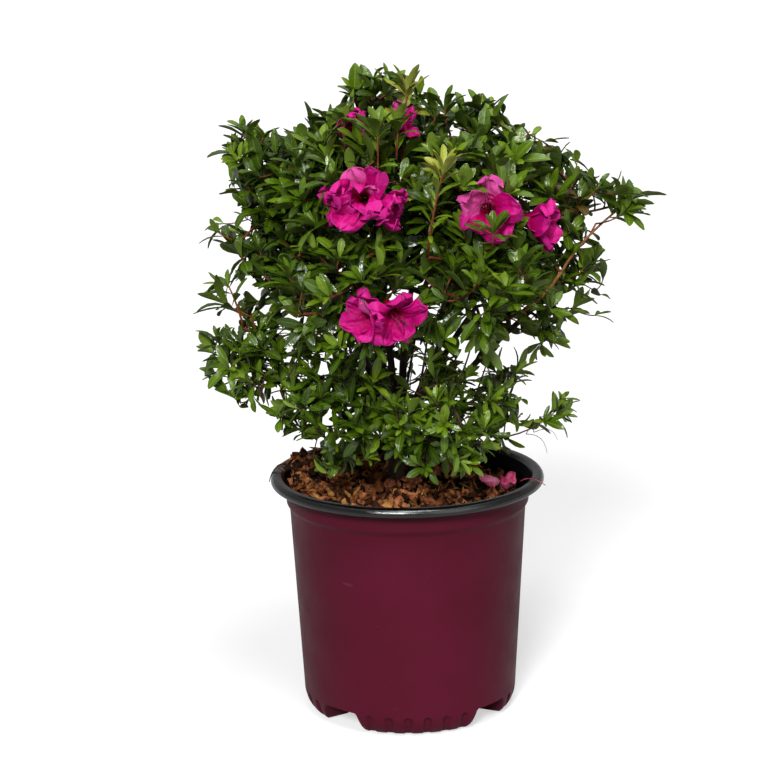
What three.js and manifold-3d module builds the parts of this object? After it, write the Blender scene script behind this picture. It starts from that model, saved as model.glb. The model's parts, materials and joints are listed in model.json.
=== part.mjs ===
// A one-gallon azalea in its nursery pot: the pot, the potting mix that fills it, a short trunk,
// tapering boughs, and the masses of leafy twigs and blooms that the boughs carry.
// Millimetres, +Z up. The origin is the middle of the pot's underside, and the front faces -Y.
import * as THREE from "three";
import { mergeVertices } from "three/addons/utils/BufferGeometryUtils.js";
import Module from "manifold-3d";

const wasm = await Module();
wasm.setup();

const UP = new THREE.Vector3(0, 0, 1);
const FULL_TURN = 2 * Math.PI;
const GOLDEN_ANGLE = Math.PI * (3 - Math.sqrt(5));

// Clearance that touching pieces keep.
const GAP = 0.3;

// Edges shorter than this are closed up where pieces are joined or cut.
const SHORT_EDGE = 0.02;

// The pot, a thin tapering bucket with a rolled rim.
const ROUND_STEPS = 36;
const POT_HEIGHT = 180;
const RIM_RADIUS = 101.5;
const RIM_WIDTH = 8;
const RIM_DROP = 9;
const RIM_ROUND = 2;
const COLLAR_RADIUS = 91;
const COLLAR_FOOT = 160.5;
const WALL_TOP = 157;
const WALL_TOP_RADIUS = 88.6;
const WALL_FOOT = 16;
const WALL_FOOT_RADIUS = 80.6;
const WALL_THICK = 2;
const FOOT_RADIUS = 70.5;
const FOOT_ARC_STEPS = 3;
const FOOT_INNER_RADIUS = 58;
const FOOT_HEIGHT = 10;
const FLOOR_TOP = 17;
const PAD_RADIUS = 18;
const NOTCH_COUNT = 4;
const NOTCH_WIDTH = 36;
const NOTCH_TOP_WIDTH = 29;
const NOTCH_HEIGHT = 14;
const DRAIN_RADIUS = 5;
const DRAIN_PLACE = 64;
const DRAIN_SIDES = 8;

// The potting mix, with a low mound round the trunk and a fall towards the right.
const MIX_EDGE = 164;
const MIX_MOUND = 8;
const MIX_FALL = 0.05;
const MIX_BUMP = 1.2;
const MIX_RINGS = [30, 56, 76];
const TRUNK_SEAT_RADIUS = 13;

// The trunk, from its flat cut on the mix to its fork.
const TRUNK_FOOT = new THREE.Vector3(-9, 0, 171.6);
const TRUNK_FORK = new THREE.Vector3(-5, 1, 209);
const TRUNK_FOOT_RADIUS = 9.5;
const TRUNK_RADIUS = 6.4;
const TRUNK_FORK_RADIUS = 5.4;
const FLARE_HEIGHT = 0.35;
const FLARE_ROOTS = 5;
const FLARE_DEPTH = 0.16;
const TRUNK_SIDES = 15;
const TRUNK_STEPS = 5;

// The boughs.
const BOUGH_SIDES = 5;
const BOUGH_STEPS = 5;
const BOUGH_TIP_RADIUS = 1.9;
const BOUGH_SLIMMING = 0.62;
const BOUGH_BOW = 0.12;
const STEM_DEPTH = 0.5;

// The foliage masses. Each holds an egg-shaped space, with its reach along X, Y and Z, less what
// is nearer to its neighbours. The bough of a mass leaves the trunk, or the bough of an earlier
// mass, at a share of its length.
const MASSES = [
  { name: "top_left", at: [-24, -6, 434], reach: [55, 50, 50], from: "trunk", share: 0.97 },
  { name: "heart", at: [8, 2, 350], reach: [46, 46, 44], from: "trunk", share: 0.9 },
  { name: "mid_left", at: [-98, 6, 346], reach: [52, 52, 47], from: "trunk", share: 0.82 },
  { name: "mid_right", at: [104, -6, 316], reach: [49, 52, 46], from: "trunk", share: 0.72 },
  { name: "mid_front_left", at: [-42, -90, 332], reach: [56, 52, 50], from: "trunk", share: 0.62 },
  { name: "mid_front_right", at: [54, -86, 334], reach: [52, 50, 50], from: "trunk", share: 0.86 },
  { name: "mid_back_left", at: [-58, 84, 322], reach: [56, 52, 50], from: "trunk", share: 0.7 },
  { name: "mid_back_right", at: [60, 86, 322], reach: [54, 52, 50], from: "trunk", share: 0.8 },
  { name: "low_left", at: [-104, -8, 268], reach: [54, 50, 40], from: "trunk", share: 0.5 },
  { name: "low_right", at: [74, -8, 232], reach: [56, 46, 30], from: "mid_right", share: 0.22 },
  { name: "low_front_left", at: [-52, -66, 243], reach: [50, 46, 42], from: "mid_front_left", share: 0.2 },
  { name: "low_front", at: [24, -72, 240], reach: [46, 46, 44], from: "mid_front_right", share: 0.18 },
  { name: "low_back", at: [-6, 78, 240], reach: [56, 48, 44], from: "mid_back_left", share: 0.2 },
  { name: "up_left", at: [-86, -2, 408], reach: [50, 50, 43], from: "mid_left", share: 0.55 },
  { name: "up_right", at: [126, 2, 378], reach: [63, 50, 38], from: "mid_right", share: 0.6 },
  { name: "up_front_left", at: [-38, -72, 402], reach: [52, 54, 46], from: "top_left", share: 0.42 },
  { name: "up_front_right", at: [40, -68, 396], reach: [46, 50, 44], from: "heart", share: 0.62 },
  { name: "up_back", at: [4, 76, 396], reach: [58, 52, 48], from: "top_left", share: 0.5 },
  { name: "top_right", at: [66, -8, 417], reach: [52, 52, 47], from: "heart", share: 0.5 },
];

// The rule by which twigs fill a mass.
const SEED = 4127;
const SEED_STEP = 101;
const TIPS_PER_MASS = 7;
const TIP_CHOICES = 14;
const TIP_SPACING = 20;
const TIP_DEPTH_LEAST = 0.35;
const TIP_DEPTH_MOST = 0.72;
const TIP_CLEARANCE = 6;
const DOME_LOW = -0.7;
const HEART_LOW = 130;
const HEART_RISE = 0.5;
const STEM_LENGTH = 12;
const TWIG_STEPS = 2;
const TWIG_ROOT_RADIUS = 1.7;
const TWIG_TIP_RADIUS = 0.9;
const TWIG_THINNING = 0.85;
const TWIG_SIDES = 3;
const TWIG_SAG = 0.16;
const PATH_WEIGHT = 0.3;
const TURN_MOST = -0.1;

// Long shoots that stand out of the crown, each at the point that it reaches.
const SHOOTS = {
  low_right: [[108, -8, 228]],
  up_right: [[168, 2, 385]],
  top_left: [[-34, 0, 460], [4, -2, 460]],
};

// Leaves, in a whorl round the end of each twig. A leaf that doesn't fit is tried smaller, and one
// whose middle would crowd another's is left out.
const LEAVES_PER_TIP = 5;
const LEAF_LENGTH = 42;
const LEAF_WIDTH = 18;
const LEAF_SPACING = 13;
const LEAF_THICK = 1.4;
const LEAF_WIDEST = 0.55;
const LEAF_RUN = 14;
const LEAF_TILT_TIP = 0.6;
const LEAF_TILT_ROOT = 1.35;
const LEAF_SHRINKS = [1, 0.84, 0.7];
const LIMB_CLEARANCE = 0.6;

// Blooms: the middle of each throat's mouth, and the way that it faces.
const BLOOMS = [
  { mass: "up_front_left", at: [-42, -104, 412], faces: [-0.4, -0.9, 0.1] },
  { mass: "up_front_left", at: [-16, -104, 416], faces: [0.25, -0.95, 0.15] },
  { mass: "up_front_right", at: [61, -88, 405], faces: [0.05, -0.95, 0.3] },
  { mass: "up_right", at: [105, -24, 377], faces: [0.92, -0.35, 0.1] },
  { mass: "mid_front_left", at: [-34, -122, 338], faces: [-0.25, -0.9, -0.1] },
  { mass: "mid_front_left", at: [-8, -120, 326], faces: [0.35, -0.9, -0.2] },
  { mass: "top_left", at: [-36, -32, 448], faces: [-0.4, -0.8, 0.4] },
  { mass: "mid_back_left", at: [-72, 110, 340], faces: [-0.4, 0.9, 0.2] },
  { mass: "up_back", at: [22, 102, 408], faces: [0.2, 0.9, 0.4] },
  { mass: "mid_back_right", at: [86, 106, 322], faces: [0.6, 0.8, 0] },
];
const PETALS = 5;
const PETAL_LENGTH = 25;
const PETAL_WIDTH = 23;
const PETAL_THICK = 1.4;
const PETAL_TILT = 1.05;
const PETAL_ROOT = 2.5;
const THROAT_LENGTH = 17;
const THROAT_RADIUS = 5.5;
const THROAT_FOOT_RADIUS = 1.9;

const COLOURS = {
  pot: 0x5a1f33,
  mix: 0x4a2c1c,
  bark: 0x4b3728,
  leaf: 0x2f5a1c,
};

// A stream of numbers from 0 to 1: each state is the last one times 16807, over 2^31 - 1.
function seeded(seed) {
  let state = seed;
  return () => {
    state = (state * 16807) % 2147483647;
    return state / 2147483647;
  };
}

function unitVector(random) {
  const height = 2 * random() - 1;
  const turn = FULL_TURN * random();
  const flat = Math.sqrt(1 - height * height);
  return new THREE.Vector3(flat * Math.cos(turn), flat * Math.sin(turn), height);
}

function solidOf(geometry) {
  const bare = geometry.clone();
  bare.deleteAttribute("normal");
  bare.deleteAttribute("uv");
  const merged = mergeVertices(bare, 1e-4);
  return new wasm.Manifold(
    new wasm.Mesh({
      numProp: 3,
      vertProperties: merged.attributes.position.array,
      triVerts: new Uint32Array(merged.index.array),
      tolerance: SHORT_EDGE,
    }),
  );
}

// The largest closed body of a solid, as a geometry: scraps go, and a sealed hollow is filled.
function geometryOf(solid) {
  const bodies = solid.decompose().sort((a, b) => b.volume() - a.volume());
  const mesh = bodies[0].getMesh();
  const geometry = new THREE.BufferGeometry();
  geometry.setAttribute("position", new THREE.BufferAttribute(mesh.vertProperties, 3));
  geometry.setIndex(new THREE.BufferAttribute(mesh.triVerts, 1));
  return geometry;
}

function geometryFrom(corners, faces) {
  const geometry = new THREE.BufferGeometry();
  const flat = corners.flatMap((corner) => corner.toArray());
  geometry.setAttribute("position", new THREE.Float32BufferAttribute(flat, 3));
  geometry.setIndex(faces.flat());
  return geometry;
}

// The two directions across each point of a path: square to the path, or level.
function crossings(points, level) {
  if (level) {
    const flat = [new THREE.Vector3(1, 0, 0), new THREE.Vector3(0, 1, 0)];
    return { normals: points.map(() => flat[0]), binormals: points.map(() => flat[1]) };
  }
  return new THREE.CatmullRomCurve3(points).computeFrenetFrames(points.length - 1);
}

// A closed tapering tube: a ring of corners at each point of a path, and a flat end on both ends.
// radiusAt gives the radius at a share of the length and a turn round the tube.
function taperedTube(points, sides, radiusAt, level = false) {
  const steps = points.length - 1;
  const frames = crossings(points, level);
  const corners = [];
  const faces = [];
  points.forEach((point, ring) => {
    for (let side = 0; side < sides; side += 1) {
      const turn = (FULL_TURN * side) / sides;
      const radius = radiusAt(ring / steps, turn);
      const corner = point.clone();
      corner.addScaledVector(frames.normals[ring], radius * Math.cos(turn));
      corner.addScaledVector(frames.binormals[ring], radius * Math.sin(turn));
      corners.push(corner);
      if (ring === steps) continue;
      const here = ring * sides + side;
      const beside = ring * sides + ((side + 1) % sides);
      faces.push([here, beside, beside + sides], [here, beside + sides, here + sides]);
    }
  });
  const last = steps * sides;
  for (let side = 1; side < sides - 1; side += 1) {
    faces.push([0, side + 1, side], [last, last + side, last + side + 1]);
  }
  return geometryFrom(corners, faces);
}

function bezier(start, control, end, steps) {
  return new THREE.QuadraticBezierCurve3(start, control, end).getPoints(steps);
}

// The foot's rounded edge, from the floor up to the wall.
function footArc() {
  return Array.from({ length: FOOT_ARC_STEPS }, (_, step) => {
    const turn = (Math.PI / 2) * ((step + 1) / (FOOT_ARC_STEPS + 1));
    const radius = FOOT_RADIUS + (WALL_FOOT_RADIUS - FOOT_RADIUS) * Math.sin(turn);
    return [radius, WALL_FOOT * (1 - Math.cos(turn))];
  });
}

// What a notch takes out of the foot: a wedge-sided block that points outward.
function notchBlock() {
  const from = FOOT_INNER_RADIUS - 3;
  const [low, high] = [NOTCH_WIDTH / 2, NOTCH_TOP_WIDTH / 2];
  const outline = [[-low, -1], [low, -1], [high, NOTCH_HEIGHT], [-high, NOTCH_HEIGHT]];
  const shape = new THREE.Shape(outline.map(([x, y]) => new THREE.Vector2(x, y)));
  const depth = WALL_FOOT_RADIUS + 5 - from;
  const block = new THREE.ExtrudeGeometry(shape, { depth, bevelEnabled: false });
  return block.rotateX(Math.PI / 2).rotateZ(Math.PI / 2).translate(from, 0, 0);
}

function drainBlock() {
  const hole = new THREE.CylinderGeometry(DRAIN_RADIUS, DRAIN_RADIUS, 3 * FLOOR_TOP, DRAIN_SIDES);
  return hole.rotateX(Math.PI / 2).translate(DRAIN_PLACE, 0, 0);
}

function potSolid() {
  const rimBase = POT_HEIGHT - RIM_DROP;
  const rimInner = RIM_RADIUS - RIM_WIDTH;
  const outside = [
    [0, 0],
    [PAD_RADIUS, 0],
    [PAD_RADIUS + 2, FOOT_HEIGHT],
    [FOOT_INNER_RADIUS - 2, FOOT_HEIGHT],
    [FOOT_INNER_RADIUS, 0],
    [FOOT_RADIUS, 0],
    ...footArc(),
    [WALL_FOOT_RADIUS, WALL_FOOT],
    [WALL_TOP_RADIUS, WALL_TOP],
    [COLLAR_RADIUS, COLLAR_FOOT],
    [COLLAR_RADIUS, rimBase],
    [RIM_RADIUS - RIM_ROUND, rimBase],
    [RIM_RADIUS, rimBase + RIM_ROUND],
    [RIM_RADIUS, POT_HEIGHT - RIM_ROUND],
    [RIM_RADIUS - RIM_ROUND, POT_HEIGHT],
    [rimInner, POT_HEIGHT],
  ];
  const inside = [
    [COLLAR_RADIUS - WALL_THICK, rimBase],
    [WALL_TOP_RADIUS - WALL_THICK, WALL_TOP],
    [WALL_FOOT_RADIUS - WALL_THICK, WALL_FOOT + 7],
    [WALL_FOOT_RADIUS - WALL_THICK - 4, FLOOR_TOP],
    [0, FLOOR_TOP],
  ];
  const profile = [...outside, ...inside].map(([radius, height]) => new THREE.Vector2(radius, height));
  let solid = solidOf(new THREE.LatheGeometry(profile, ROUND_STEPS).rotateX(Math.PI / 2));
  for (let notch = 0; notch < NOTCH_COUNT; notch += 1) {
    const turn = (FULL_TURN * (notch + 0.5)) / NOTCH_COUNT;
    solid = solid.subtract(solidOf(notchBlock().rotateZ(turn)));
    solid = solid.subtract(solidOf(drainBlock().rotateZ(turn)));
  }
  return solid;
}

// The mix's surface: level at the trunk's seat, mounded round it, and lower towards the right.
function mixHeight(x, y, bump) {
  const away = Math.hypot(x, y) / (WALL_TOP_RADIUS - WALL_THICK);
  return MIX_EDGE + MIX_MOUND * (1 - away * away) - MIX_FALL * x + bump;
}

function mixSolid() {
  const random = seeded(SEED);
  const edge = WALL_TOP_RADIUS - WALL_THICK - GAP;
  const foot = WALL_FOOT_RADIUS - WALL_THICK - GAP;
  const rings = [TRUNK_SEAT_RADIUS, ...MIX_RINGS];
  const corners = [new THREE.Vector3(TRUNK_FOOT.x, TRUNK_FOOT.y, TRUNK_FOOT.z - GAP)];
  const faces = [];
  const addRing = (radius, heightAt, middle) => {
    for (let step = 0; step < ROUND_STEPS; step += 1) {
      const turn = (FULL_TURN * step) / ROUND_STEPS;
      const x = middle.x + radius * Math.cos(turn);
      const y = middle.y + radius * Math.sin(turn);
      corners.push(new THREE.Vector3(x, y, heightAt(x, y)));
    }
  };
  const seat = (step) => TRUNK_FOOT.clone().multiplyScalar(1 - step / rings.length);
  addRing(rings[0], () => TRUNK_FOOT.z - GAP, TRUNK_FOOT);
  MIX_RINGS.forEach((radius, step) => {
    addRing(radius, (x, y) => mixHeight(x, y, MIX_BUMP * (2 * random() - 1)), seat(step + 1));
  });
  addRing(edge, () => MIX_EDGE - 7, new THREE.Vector3());
  addRing(edge, () => WALL_TOP - 1, new THREE.Vector3());
  addRing(foot, () => WALL_FOOT + 7, new THREE.Vector3());
  addRing(foot - 4, () => FLOOR_TOP + GAP, new THREE.Vector3());
  const lastRing = rings.length + 3;
  const ringCorner = (ring, step) => 1 + ring * ROUND_STEPS + (step % ROUND_STEPS);
  const middle = corners.push(new THREE.Vector3(0, 0, FLOOR_TOP + GAP)) - 1;
  for (let step = 0; step < ROUND_STEPS; step += 1) {
    faces.push([0, ringCorner(0, step), ringCorner(0, step + 1)]);
    for (let ring = 0; ring < lastRing; ring += 1) {
      const [a, b] = [ringCorner(ring, step), ringCorner(ring, step + 1)];
      const [c, d] = [ringCorner(ring + 1, step + 1), ringCorner(ring + 1, step)];
      faces.push([a, d, c], [a, c, b]);
    }
    faces.push([middle, ringCorner(lastRing, step + 1), ringCorner(lastRing, step)]);
  }
  return solidOf(geometryFrom(corners, faces));
}

// A limb keeps its path, its radius at each share of the length, and the direction of its tip.
function makeLimb(name, points, radiusAt, sides) {
  const tip = points[points.length - 1];
  const direction = tip.clone().sub(points[points.length - 2]).normalize();
  return { name, points, radiusAt, sides, tip, direction };
}

// The trunk's rings are level, so that its cut foot lies flat on the mix.
function limbSolid(limb, extra) {
  const radiusAt = (share, turn) => limb.radiusAt(share, turn) + extra;
  return solidOf(taperedTube(limb.points, limb.sides, radiusAt, limb.name === "trunk"));
}

function pointOn(limb, share) {
  return new THREE.CatmullRomCurve3(limb.points).getPoint(share);
}

function makeTrunk() {
  const middle = TRUNK_FOOT.clone().lerp(TRUNK_FORK, 0.5);
  middle.x -= 1.5;
  const points = bezier(TRUNK_FOOT, middle, TRUNK_FORK, TRUNK_STEPS);
  const radiusAt = (share, turn) => {
    const flare = Math.max(0, 1 - share / FLARE_HEIGHT) ** 2;
    const roots = 1 + FLARE_DEPTH * flare * Math.cos(FLARE_ROOTS * turn);
    const shaft = THREE.MathUtils.lerp(TRUNK_RADIUS, TRUNK_FORK_RADIUS, share);
    return (shaft + (TRUNK_FOOT_RADIUS - TRUNK_RADIUS) * flare) * roots;
  };
  return makeLimb("trunk", points, radiusAt, TRUNK_SIDES);
}

// A bough leaves its parent's middle line and ends on the inner side of its mass.
function makeBough(mass, limbs) {
  const parent = limbs.find((limb) => limb.name === mass.from || limb.name === `bough_${mass.from}`);
  const start = pointOn(parent, mass.share);
  const middle = new THREE.Vector3(...mass.at);
  const inward = start.clone().sub(middle).normalize();
  const end = middle.clone().addScaledVector(inward, meanReach(mass) * STEM_DEPTH);
  const length = start.distanceTo(end);
  const control = start.clone().lerp(end, 0.5).addScaledVector(UP, BOUGH_BOW * length);
  const random = seeded(SEED + SEED_STEP * mass.at[2]);
  control.addScaledVector(unitVector(random), 0.05 * length);
  const rootRadius = Math.max(BOUGH_TIP_RADIUS, parent.radiusAt(mass.share, 0) * BOUGH_SLIMMING);
  const radiusAt = (share) => THREE.MathUtils.lerp(rootRadius, BOUGH_TIP_RADIUS, Math.sqrt(share));
  return makeLimb(`bough_${mass.name}`, bezier(start, control, end, BOUGH_STEPS), radiusAt, BOUGH_SIDES);
}

function meanReach(mass) {
  return (mass.reach[0] + mass.reach[1] + mass.reach[2]) / 3;
}

// How far a point lies inside a mass's space, from its egg shape and from the planes to its
// neighbours.
function depthIn(mass, point) {
  const middle = new THREE.Vector3(...mass.at);
  const own = point.distanceToSquared(middle) - meanReach(mass) ** 2;
  const stretched = point.clone().sub(middle).divide(new THREE.Vector3(...mass.reach));
  let depth = (1 - stretched.length()) * Math.min(...mass.reach);
  for (const other of MASSES) {
    if (other === mass) continue;
    const theirs = new THREE.Vector3(...other.at);
    const power = point.distanceToSquared(theirs) - meanReach(other) ** 2;
    depth = Math.min(depth, (power - own) / (2 * middle.distanceTo(theirs)));
  }
  return depth;
}

// The clear distance from a point to the nearest limb.
function limbDistance(point, limbs) {
  const line = new THREE.Line3();
  const near = new THREE.Vector3();
  let least = Infinity;
  for (const limb of limbs) {
    const steps = limb.points.length - 1;
    for (let step = 0; step < steps; step += 1) {
      line.set(limb.points[step], limb.points[step + 1]);
      line.closestPointToPoint(point, true, near);
      least = Math.min(least, near.distanceTo(point) - limb.radiusAt(step / steps, 0));
    }
  }
  return least;
}

// Whether a run of points with some thickness round it stays in the space, clear of limbs.
function fits(mass, points, halfWidth, limbs) {
  return points.every(
    (point) => depthIn(mass, point) > GAP / 2 + halfWidth * 0.9
      && limbDistance(point, limbs) > halfWidth + LIMB_CLEARANCE,
  );
}

// The twigs' ends that are set by name: a mass's blooms and long shoots.
function namedTips(mass) {
  const tips = (SHOOTS[mass.name] ?? []).map((shoot) => ({ point: new THREE.Vector3(...shoot) }));
  for (const bloom of BLOOMS.filter((one) => one.mass === mass.name)) {
    const faces = new THREE.Vector3(...bloom.faces).normalize();
    tips.push({ point: new THREE.Vector3(...bloom.at).addScaledVector(faces, -THROAT_LENGTH), faces });
  }
  return tips;
}

// All the twigs' ends. Each new one is the seeded point, of a few on the mass's outer side, that
// lies farthest from the ends before it.
function scatterTips(mass, random) {
  const middle = new THREE.Vector3(...mass.at);
  const heart = new THREE.Vector3(0, 0, middle.z * HEART_RISE + HEART_LOW);
  const outward = middle.clone().sub(heart).normalize();
  const reach = new THREE.Vector3(...mass.reach);
  const tips = namedTips(mass);
  while (tips.length < TIPS_PER_MASS) {
    let best = { room: TIP_SPACING };
    for (let choice = 0; choice < TIP_CHOICES; choice += 1) {
      const way = unitVector(random);
      const share = THREE.MathUtils.lerp(TIP_DEPTH_LEAST, TIP_DEPTH_MOST, random());
      const point = way.clone().multiply(reach).multiplyScalar(share).add(middle);
      if (way.dot(outward) < DOME_LOW || depthIn(mass, point) < TIP_CLEARANCE) continue;
      const room = Math.min(4 * TIP_SPACING, ...tips.map((tip) => tip.point.distanceTo(point)));
      if (room > best.room) best = { point, room };
    }
    if (!best.point) break;
    tips.push({ point: best.point });
  }
  return tips;
}

// The joint that a twig to a tip grows from: near to the tip and to the stem, and not behind.
function bestJoint(joints, tip) {
  let best = { cost: Infinity };
  for (const joint of joints) {
    const way = tip.point.clone().sub(joint.point);
    const length = way.length();
    const back = way.normalize().dot(joint.direction) < TURN_MOST ? length : 0;
    const cost = length + PATH_WEIGHT * joint.path + back;
    if (cost < best.cost) best = { joint, cost, length };
  }
  return best;
}

// The twigs of a mass, from its stem out, nearest ends first.
function growTwigs(mass, bough, limbs) {
  const random = seeded(SEED + SEED_STEP * MASSES.indexOf(mass));
  const { direction } = bough;
  const foot = bough.tip.clone().addScaledVector(direction, GAP);
  const head = foot.clone().addScaledVector(direction, STEM_LENGTH);
  const stem = [foot, foot.clone().lerp(head, 0.5), head];
  const radii = [TWIG_ROOT_RADIUS, TWIG_ROOT_RADIUS * TWIG_THINNING];
  const twigs = [{ points: stem, radii, direction }];
  const joints = stem.slice(1).map((point) => ({ point, direction, path: 0, radius: radii[1] }));
  const tips = scatterTips(mass, random);
  tips.sort((a, b) => a.point.distanceTo(head) - b.point.distanceTo(head));
  for (const tip of tips) {
    const { joint, length } = bestJoint(joints, tip);
    const control = joint.point.clone().lerp(tip.point, 0.45);
    control.addScaledVector(joint.direction, 0.2 * length).addScaledVector(UP, -TWIG_SAG * length);
    const points = bezier(joint.point, control, tip.point, TWIG_STEPS);
    if (!fits(mass, points.slice(1), TWIG_ROOT_RADIUS, limbs)) continue;
    const end = points[TWIG_STEPS].clone().sub(points[TWIG_STEPS - 1]).normalize();
    const twigRadii = [Math.max(joint.radius * TWIG_THINNING, TWIG_TIP_RADIUS), TWIG_TIP_RADIUS];
    twigs.push({ points, radii: twigRadii, direction: end, faces: tip.faces, leafy: true });
    points.slice(1).forEach((point, step) => {
      const share = (step + 1) / TWIG_STEPS;
      joints.push({
        point,
        direction: point.clone().sub(points[step]).normalize(),
        path: joint.path + length * share,
        radius: THREE.MathUtils.lerp(...twigRadii, share),
      });
    });
  }
  return twigs;
}

// A closed blade of four corners, its root, its tip and its two sides. It is thickest where the
// line from root to tip passes under the line from side to side.
function bladeGeometry(root, along, upper, length, width, thick) {
  const across = new THREE.Vector3().crossVectors(upper, along).normalize();
  const widest = root.clone().addScaledVector(along, length * LEAF_WIDEST).addScaledVector(upper, thick);
  const tip = root.clone().addScaledVector(along, length);
  const left = widest.clone().addScaledVector(across, width / 2);
  const right = widest.clone().addScaledVector(across, -width / 2);
  return geometryFrom([root, tip, left, right], [[0, 3, 2], [1, 2, 3], [0, 2, 1], [0, 1, 3]]);
}

function cornersOf(geometry) {
  const position = geometry.getAttribute("position");
  return Array.from({ length: position.count }, (_, n) => new THREE.Vector3().fromBufferAttribute(position, n));
}

// A direction at right angles to another, turned round it.
function sideways(along, turn) {
  const start = Math.abs(along.z) < 0.9 ? UP : new THREE.Vector3(1, 0, 0);
  return new THREE.Vector3().crossVectors(along, start).normalize().applyAxisAngle(along, turn);
}

// A blade that grows from a root, at a tilt from an axis and a turn round it, in the largest of a
// few sizes that stays in the mass's space and clear of the limbs. There may be none. The places
// that it may not crowd are a list of middles, and its own middle joins them.
function fittedBlade(mass, limbs, middles, root, axis, out, tilt, size) {
  const along = axis.clone().multiplyScalar(Math.cos(tilt)).addScaledVector(out, Math.sin(tilt));
  const upper = axis.clone().addScaledVector(along, -Math.cos(tilt)).normalize();
  for (const shrink of LEAF_SHRINKS) {
    const [length, width] = [size.length * shrink, size.width * shrink];
    const blade = bladeGeometry(root, along, upper, length, width, size.thick);
    const spine = [0.3, 0.55, 0.8].map((part) => root.clone().addScaledVector(along, length * part));
    const inSpace = cornersOf(blade).every((corner) => depthIn(mass, corner) > GAP / 2);
    const crowds = middles.some((middle) => middle.distanceTo(spine[1]) < size.spacing);
    if (!inSpace || crowds || spine.some((point) => limbDistance(point, limbs) < width / 2 + GAP)) continue;
    middles.push(spine[1]);
    return [blade];
  }
  return [];
}

// The whorl at a twig's end: leaves a golden angle apart, the last ones more upright and smaller.
function leavesOf(mass, twig, random, limbs, middles) {
  const tip = twig.points[twig.points.length - 1];
  const start = FULL_TURN * random();
  const leaves = [];
  for (let leaf = 0; leaf < LEAVES_PER_TIP; leaf += 1) {
    const share = leaf / (LEAVES_PER_TIP - 1);
    const tilt = THREE.MathUtils.lerp(LEAF_TILT_ROOT, LEAF_TILT_TIP, share);
    const scale = (1 - 0.2 * share) * (0.9 + 0.2 * random());
    const root = tip.clone().addScaledVector(twig.direction, (share - 1) * LEAF_RUN - 0.6);
    const out = sideways(twig.direction, start + leaf * GOLDEN_ANGLE);
    const size = { length: LEAF_LENGTH * scale, width: LEAF_WIDTH * scale, thick: LEAF_THICK, spacing: LEAF_SPACING };
    leaves.push(...fittedBlade(mass, limbs, middles, root, twig.direction, out, tilt, size));
  }
  return leaves;
}

// A bloom: a throat that widens from the twig's end, and petals that open from its mouth.
function bloomOf(mass, twig, random, limbs, middles) {
  const foot = twig.points[twig.points.length - 1].clone().addScaledVector(twig.faces, -1.5);
  const mouth = foot.clone().addScaledVector(twig.faces, THROAT_LENGTH);
  const radiusAt = (share) => THREE.MathUtils.lerp(THROAT_FOOT_RADIUS, THROAT_RADIUS, share);
  if (!fits(mass, [mouth], THROAT_RADIUS, limbs)) return [];
  const start = FULL_TURN * random();
  const root = mouth.clone().addScaledVector(twig.faces, -PETAL_ROOT);
  const size = { length: PETAL_LENGTH, width: PETAL_WIDTH, thick: PETAL_THICK, spacing: 0 };
  const pieces = [taperedTube([foot, mouth], PETALS, radiusAt)];
  for (let petal = 0; petal < PETALS; petal += 1) {
    const out = sideways(twig.faces, start + (FULL_TURN * petal) / PETALS);
    pieces.push(...fittedBlade(mass, limbs, middles, root, twig.faces, out, PETAL_TILT, size));
  }
  return pieces;
}

function foliageSolid(mass, bough, limbs) {
  const random = seeded(SEED + SEED_STEP * (MASSES.length + MASSES.indexOf(mass)));
  const pieces = [];
  const middles = [];
  for (const twig of growTwigs(mass, bough, limbs)) {
    const radiusAt = (share) => THREE.MathUtils.lerp(...twig.radii, share);
    pieces.push(taperedTube(twig.points, TWIG_SIDES, radiusAt));
    if (twig.faces) pieces.push(...bloomOf(mass, twig, random, limbs, middles));
    else if (twig.leafy) pieces.push(...leavesOf(mass, twig, random, limbs, middles));
  }
  return wasm.Manifold.union(pieces.map(solidOf));
}

const shrub = new THREE.Group();

function addNode(name, solid, color, roughness) {
  const material = new THREE.MeshStandardMaterial({ color, roughness, metalness: 0 });
  const mesh = new THREE.Mesh(geometryOf(solid), material);
  mesh.name = name;
  shrub.add(mesh);
}

const trunk = makeTrunk();
const limbs = [trunk];
for (const mass of MASSES) limbs.push(makeBough(mass, limbs));

addNode("pot", potSolid(), COLOURS.pot, 0.55);
addNode("potting_mix", mixSolid(), COLOURS.mix, 0.95);
addNode("trunk", limbSolid(trunk, 0), COLOURS.bark, 0.85);

// Each bough is cut clear of the limbs that were made before it.
limbs.forEach((limb, count) => {
  if (limb === trunk) return;
  let solid = limbSolid(limb, 0);
  for (const earlier of limbs.slice(0, count)) solid = solid.subtract(limbSolid(earlier, GAP));
  addNode(limb.name, solid, COLOURS.bark, 0.85);
});

for (const mass of MASSES) {
  const bough = limbs.find((limb) => limb.name === `bough_${mass.name}`);
  addNode(`foliage_${mass.name}`, foliageSolid(mass, bough, limbs), COLOURS.leaf, 0.45);
}

export default shrub;
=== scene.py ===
"""A one-gallon azalea in its maroon nursery pot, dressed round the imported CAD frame.

Sizes are in millimetres until make_piece turns them into metres. +Z is up, the front faces -Y, and
the origin is the middle of the pot's underside. Every surface is a formula on a grid of two
numbers, or a profile carried along a path, worked out as whole arrays.
"""

import json
import math
from collections import namedtuple

import bpy
import numpy as np
from mathutils import Matrix

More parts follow.
